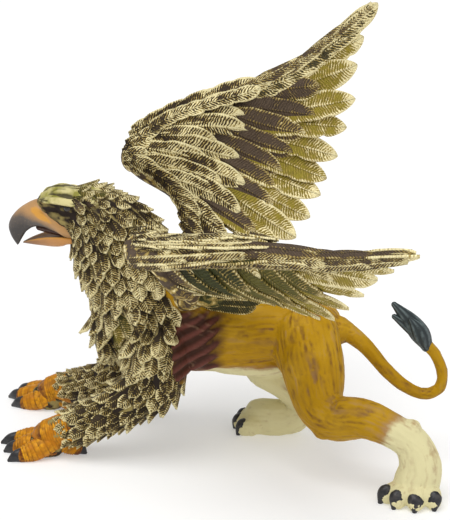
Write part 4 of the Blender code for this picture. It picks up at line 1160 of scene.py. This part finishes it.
def wingFeather(look, lowered, base, tip, width, thick, above, shake, columns=8, rows=24):
    # a vane that follows the wing's arch, with a shaft ridge, splits in its edge and a worn tip
    base = np.array(base, float)
    tip = np.array(tip, float)
    length = np.linalg.norm(tip - base)
    ahead = (tip - base) / length
    side = np.array([-ahead[1], ahead[0]])
    bend = shake.uniform(-0.05, 0.05) * length
    splits = [(shake.uniform(0.45, 0.85), shake.choice((-1, 1)), shake.uniform(0.1, 0.25)) for i in range(2)]
    v = 1 - (1 - np.linspace(0, 1, rows + 1)) ** 1.5
    u = np.linspace(-1, 1, columns + 1)
    root = 0.72 if length < 12 else 0.5
    body = root + (1 - root) * np.minimum(v / 0.3, 1.0) ** 0.8
    turn = max(0.5, 1 - 1.1 * width / length)
    taper = np.clip(1 - np.clip((v - turn) / (1 - turn), 0, 1) ** 1.8, 0.004, 1) ** 0.68
    wide = body * taper * width / 2
    U, V = np.meshgrid(u, v)
    reach = wide[:, None] * U
    for at, hand, deep in splits:
        notch = np.clip(1 - np.abs(V - at - np.abs(U) * 0.04) / 0.05, 0, 1) * deep
        reach = reach * (1 - np.where(U * hand > 0.4, notch, 0) * np.abs(U))
    x = base[0] + ahead[0] * V * length + side[0] * (reach + bend * np.sin(V * math.pi) * 0.5)
    out = base[1] + ahead[1] * V * length + side[1] * (reach + bend * np.sin(V * math.pi) * 0.5)
    hand = 1.0 if above >= 0 else -1.0
    lift = above * (1 - (0.2 if above > 4 else 0.45) * V)
    ridge = 0.30 * np.exp(-(U / 0.16) ** 2) * (1 - V * 0.7)
    share = wide[:, None] / (width / 2)
    dome = -0.5 * U * U * share
    slant = (0.085 * width * U + 0.16 * np.clip((np.abs(U) - 0.6) / 0.4, 0, 1)) * share
    upper = wingPlace(look, lowered, x, out, lift + hand * (ridge + dome + slant + thick * 0.5))
    lowerSide = wingPlace(look, lowered, x, out,
                          lift + hand * (dome + slant - thick * 0.5 * (1 - 0.5 * np.abs(U))))
    verts = np.vstack([upper.reshape(-1, 3), lowerSide.reshape(-1, 3)])
    leaf = np.stack([U, V, 0 * U + length], -1).reshape(-1, 3)
    leaf = np.vstack([leaf, leaf])
    return verts, slabFaces(columns, rows), leaf


def edgeInside(look, t, depth):
    # plan point at a depth inside the leading edge
    a, here, b = curveAt(look["leadEdge"], np.clip([t - 0.02, t, t + 0.02], 0, 1))
    way = unit(b - a)
    return here + np.array([way[1], -way[0]]) * depth


def wingWeb(look, lowered):
    # thin web that closes the gaps between the feather roots
    t = np.linspace(0, 1, 25)
    share = np.linspace(0, 1, 9)[None, :, None]
    front, rear = (curveAt(look[key], t)[:, None, :] for key in ("webFront", "webRear"))
    spot = front * (1 - share) + rear * share
    sides = []
    for up in (0.6, -0.6):
        sides.append(wingPlace(look, lowered, spot[..., 0], spot[..., 1], 0 * spot[..., 0] + up))
    verts = np.vstack([side.reshape(-1, 3) for side in sides])
    return verts, slabFaces(8, 24), np.tile([0.5, 0.3, 9.0], (len(verts), 1))


def freeFeather(base, tip, facing, width, thick, columns=8, rows=20):
    # a vane between two points of space
    base, tip, facing = (np.array(p, float) for p in (base, tip, facing))
    length = np.linalg.norm(tip - base)
    ahead = (tip - base) / length
    side = unit(np.cross(ahead, facing))
    up = np.cross(side, ahead)
    v = np.linspace(0, 1, rows + 1)
    U, V = np.meshgrid(np.linspace(-1, 1, columns + 1), v)
    taper = np.clip(1 - np.clip((v - 0.7) / 0.3, 0, 1) ** 2.2, 0.004, 1) ** 0.55
    wide = (0.6 + 0.4 * np.minimum(v / 0.3, 1.0)) * taper * width / 2
    reach = (wide[:, None] * U)[..., None]
    high = 0.3 * np.exp(-(U / 0.16) ** 2) - 0.5 * U * U + 0.9 * np.sin(V * math.pi) * 0.6
    spots = base + ahead * (V * length)[..., None] + side * reach
    top = spots + up * (high + thick / 2)[..., None]
    low = spots + up * (high - thick / 2 * (1 - 0.5 * np.abs(U)))[..., None]
    leaf = np.stack([U, V, 0 * U + length], -1).reshape(-1, 3)
    verts = np.vstack([top.reshape(-1, 3), low.reshape(-1, 3)])
    return verts, slabFaces(columns, rows), np.vstack([leaf, leaf])


def armSize(look, t):
    # half width, half height and drop of the arm under the small feathers
    wide, high = look["arm"]
    return wide[0] - wide[1] * t, high[0] - high[1] * t, np.array(-look["armDrop"] * (1 - t))


def wingPiece(name, look, lowered):
    shake = random.Random(23 if lowered else 29)
    parts, tint, tone = [], [], []
    for baseCurve, tipCurve, count, width, thick, above, gold, tones in wingRows(look):
        for i in range(count):
            t = i / (count - 1)
            slim = 0.7 + 0.3 * min(t / 0.2, 1.0) if baseCurve is look["flightBase"] else 1.0
            base = curveAt(baseCurve, np.array([t]))[0]
            drift = np.array([shake.uniform(-1, 1), shake.uniform(-1, 1)]) * 0.7
            tip = curveAt(tipCurve, np.array([t]))[0] + drift
            wide = width * slim * shake.uniform(0.92, 1.1)
            part = wingFeather(look, lowered, base, tip, wide, thick, above + shake.uniform(-0.1, 0.1), shake)
            atEdge = baseCurve in (look["edgeBase"], look["handBase"])
            lifted = look["edgeLift"] if atEdge else look["rowLift"]
            part[2][:, 1] = lifted + (1 - lifted) * part[2][:, 1]
            parts.append(part)
            tint.append(np.full(len(part[0]), gold * shake.uniform(0.85, 1.15)))
            tone.append(np.full(len(part[0]), tones))
    verts, faces, leaf = gather(parts)
    # arm under the small feathers and the web between the feather roots
    bone = []
    for i in range(13):
        t = i / 12
        wide, high, drop = armSize(look, t)
        edge = edgeInside(look, t * 0.92, wide - 0.1)
        spot = wingPlace(look, lowered, edge[0], edge[1], drop)
        bone.append((*spot, wide, high))
    shoulder = wingPlace(look, lowered, np.array(-15.0), np.array(2.0), np.array(-2.0))
    inner = (shoulder[0], shoulder[1] * 0.7, shoulder[2] - 3.0, 7.0, 5.6)
    side = -1 if lowered else 1
    centre, radii = look["rootSwell"]
    swell = ball((centre[0], side * centre[1], centre[2]), radii, 20, 30)
    grain = dots(swell[0] / np.array([2.6, 1.2, 1.2]), 7)
    swellLeaf = np.stack([0.35 + 0.5 * grain, 0.45 + 0.35 * grain, 4 + 0 * grain], -1)
    arm = tube([inner, (shoulder[0] - 1, shoulder[1], shoulder[2], 6.4, 5.4)] + bone, 90, 24, (1, 0, 0))
    grain = dots(arm[0] / 1.1, 9)
    armLeaf = np.stack([0.5 + 0.42 * grain, 0.55 + 0.3 * grain, 4 + 0 * grain], -1)
    web = wingWeb(look, lowered)
    rest = [(verts, faces, leaf), (arm[0], arm[1], armLeaf), (swell[0], swell[1], swellLeaf), web]
    tint += [np.full(len(arm[0]), 1.5), np.full(len(swell[0]), 1.5), np.full(len(web[0]), 0.5)]
    tone += [np.full(len(arm[0]), 0.3), np.full(len(swell[0]), 0.6), np.full(len(web[0]), 0.1)]
    # shingles wrapped round the front of the arm, from the wrist outwards
    shingle = look["shingle"]
    lanes = len(shingle["turns"])
    for k in range(lanes * shingle["steps"]):
        step, lane = divmod(k, lanes)
        turn = math.radians(shingle["turns"][lane])
        t = shingle["start"] + shingle["span"] * (step + 0.5 * (lane % 2)) / shingle["steps"]
        ends = []
        for at, over in ((t, 0.0), (min(t + shingle["reach"], 0.99), 0.7)):
            wide, high, drop = armSize(look, at)
            mid = edgeInside(look, at, wide - 0.1)
            out = edgeInside(look, at, -1.0)
            spot = wingPlace(look, lowered, mid[0], mid[1], drop)
            front = unit(wingPlace(look, lowered, out[0], out[1], drop) - spot)
            above = unit(wingPlace(look, lowered, mid[0], mid[1], drop + 1) - spot)
            facing = unit(front * math.cos(turn) / wide + above * math.sin(turn) / high)
            ends.append(spot + front * math.cos(turn) * wide + above * math.sin(turn) * high + facing * over)
        extra = freeFeather(ends[0], ends[1], facing, shingle["width"] * (1 - 0.6 * t), 0.8, 6, 14)
        extra[2][:, 1] = 0.35 + 0.65 * extra[2][:, 1]
        brown = lowered and lane > 1 and t > 0.5
        rest.append(extra)
        tint.append(np.full(len(extra[0]), shake.uniform(0.55, 0.75) if brown else shake.uniform(0.95, 1.25)))
        tone.append(np.full(len(extra[0]), 0.35 if brown else 0.25))
    for base, tip in look["rootFeathers"]:
        extra = freeFeather((base[0], side * base[1], base[2]), (tip[0], side * tip[1], tip[2]),
                            (0, side, 0.25), 6.0, 1.1)
        rest.append(extra)
        tint.append(np.full(len(extra[0]), 0.7))
        tone.append(np.full(len(extra[0]), 0.55))
    verts, faces, leaf = gather(rest)
    tint = np.concatenate(tint)
    tone = np.concatenate(tone)
    obj = newObject(name, verts, faces, {"leaf": leaf, "tint": tint, "tone": tone})
    outward(obj)
    obj.data.materials.append(giltPaint)
    return obj


for name, lowered, node in (("wingLeft", True, "wing_left"), ("wingRight", False, "wing_right")):
    wing = wingPiece(name, wingLook, lowered)
    print(name, "triangles", triangles(wing))
    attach(wing, "root")
    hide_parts(node)

print("stage: studio")
studio = {
    "azimuth": 9.0, "elevation": 18.0, "distance": 520.0, "aim": (0.0, -17.0, 75.0),
    "lens": 1600.0 / 520.0 * 36.0,
    "floorSize": 8.0, "floorGlow": 0.30, "sky": 0.56,
    # where each light comes from, strength, how soft
    "suns": [((-0.25, -0.35, 1.0), 1.55, 45.0), ((0.5, -0.6, 0.5), 0.55, 60.0)],
}


def placeCamera(look):
    a = math.radians(look["azimuth"])
    e = math.radians(look["elevation"])
    back = Vector((math.sin(a) * math.cos(e), -math.cos(a) * math.cos(e), math.sin(e)))
    right = Vector((math.cos(a), math.sin(a), 0.0))
    up = back.cross(right)
    spot = (Vector(look["aim"]) + place + back * look["distance"]) * mm
    data = bpy.data.cameras.new("camera")
    data.lens = look["lens"]
    data.sensor_width = 36.0
    data.clip_start = 0.01
    camera = bpy.data.objects.new("camera", data)
    bpy.context.scene.collection.objects.link(camera)
    turn = Matrix((right, up, back)).transposed().to_4x4()
    camera.matrix_world = Matrix.Translation(spot) @ turn
    bpy.context.scene.camera = camera


def placeLamps(look):
    for i, (way, power, soft) in enumerate(look["suns"]):
        data = bpy.data.lights.new("sun%d" % i, "SUN")
        data.energy = power
        data.angle = math.radians(soft)
        lamp = bpy.data.objects.new("sun%d" % i, data)
        bpy.context.scene.collection.objects.link(lamp)
        lamp.rotation_euler = Vector(way).to_track_quat("Z", "Y").to_euler()
    world = bpy.data.worlds.new("studio")
    world.use_nodes = True
    sky = world.node_tree.nodes["Background"]
    sky.inputs["Color"].default_value = (1.0, 1.0, 1.0, 1.0)
    sky.inputs["Strength"].default_value = look["sky"]
    bpy.context.scene.world = world


def placeFloor(look):
    half = look["floorSize"] / 2
    mesh = bpy.data.meshes.new("floor")
    mesh.from_pydata([(-half, -half, 0), (half, -half, 0), (half, half, 0), (-half, half, 0)], [],
                     [(0, 1, 2, 3)])
    floor = bpy.data.objects.new("floor", mesh)
    bpy.context.scene.collection.objects.link(floor)
    material, kit = newMaterial("pale floor")
    cloud = kit.noise(kit.here, 8.0, 2.0)
    kit.finish(kit.mix(cloud, (0.70, 0.70, 0.70), (0.73, 0.73, 0.73)), 0.7 + cloud * 0.1, gloss=0.0)
    shader = material.node_tree.nodes["Principled BSDF"]
    shader.inputs["Emission Color"].default_value = (1.0, 1.0, 1.0, 1.0)
    shader.inputs["Emission Strength"].default_value = look["floorGlow"]
    floor.data.materials.append(material)


placeCamera(studio)
placeLamps(studio)
placeFloor(studio)
bpy.context.scene.view_settings.view_transform = "Standard"
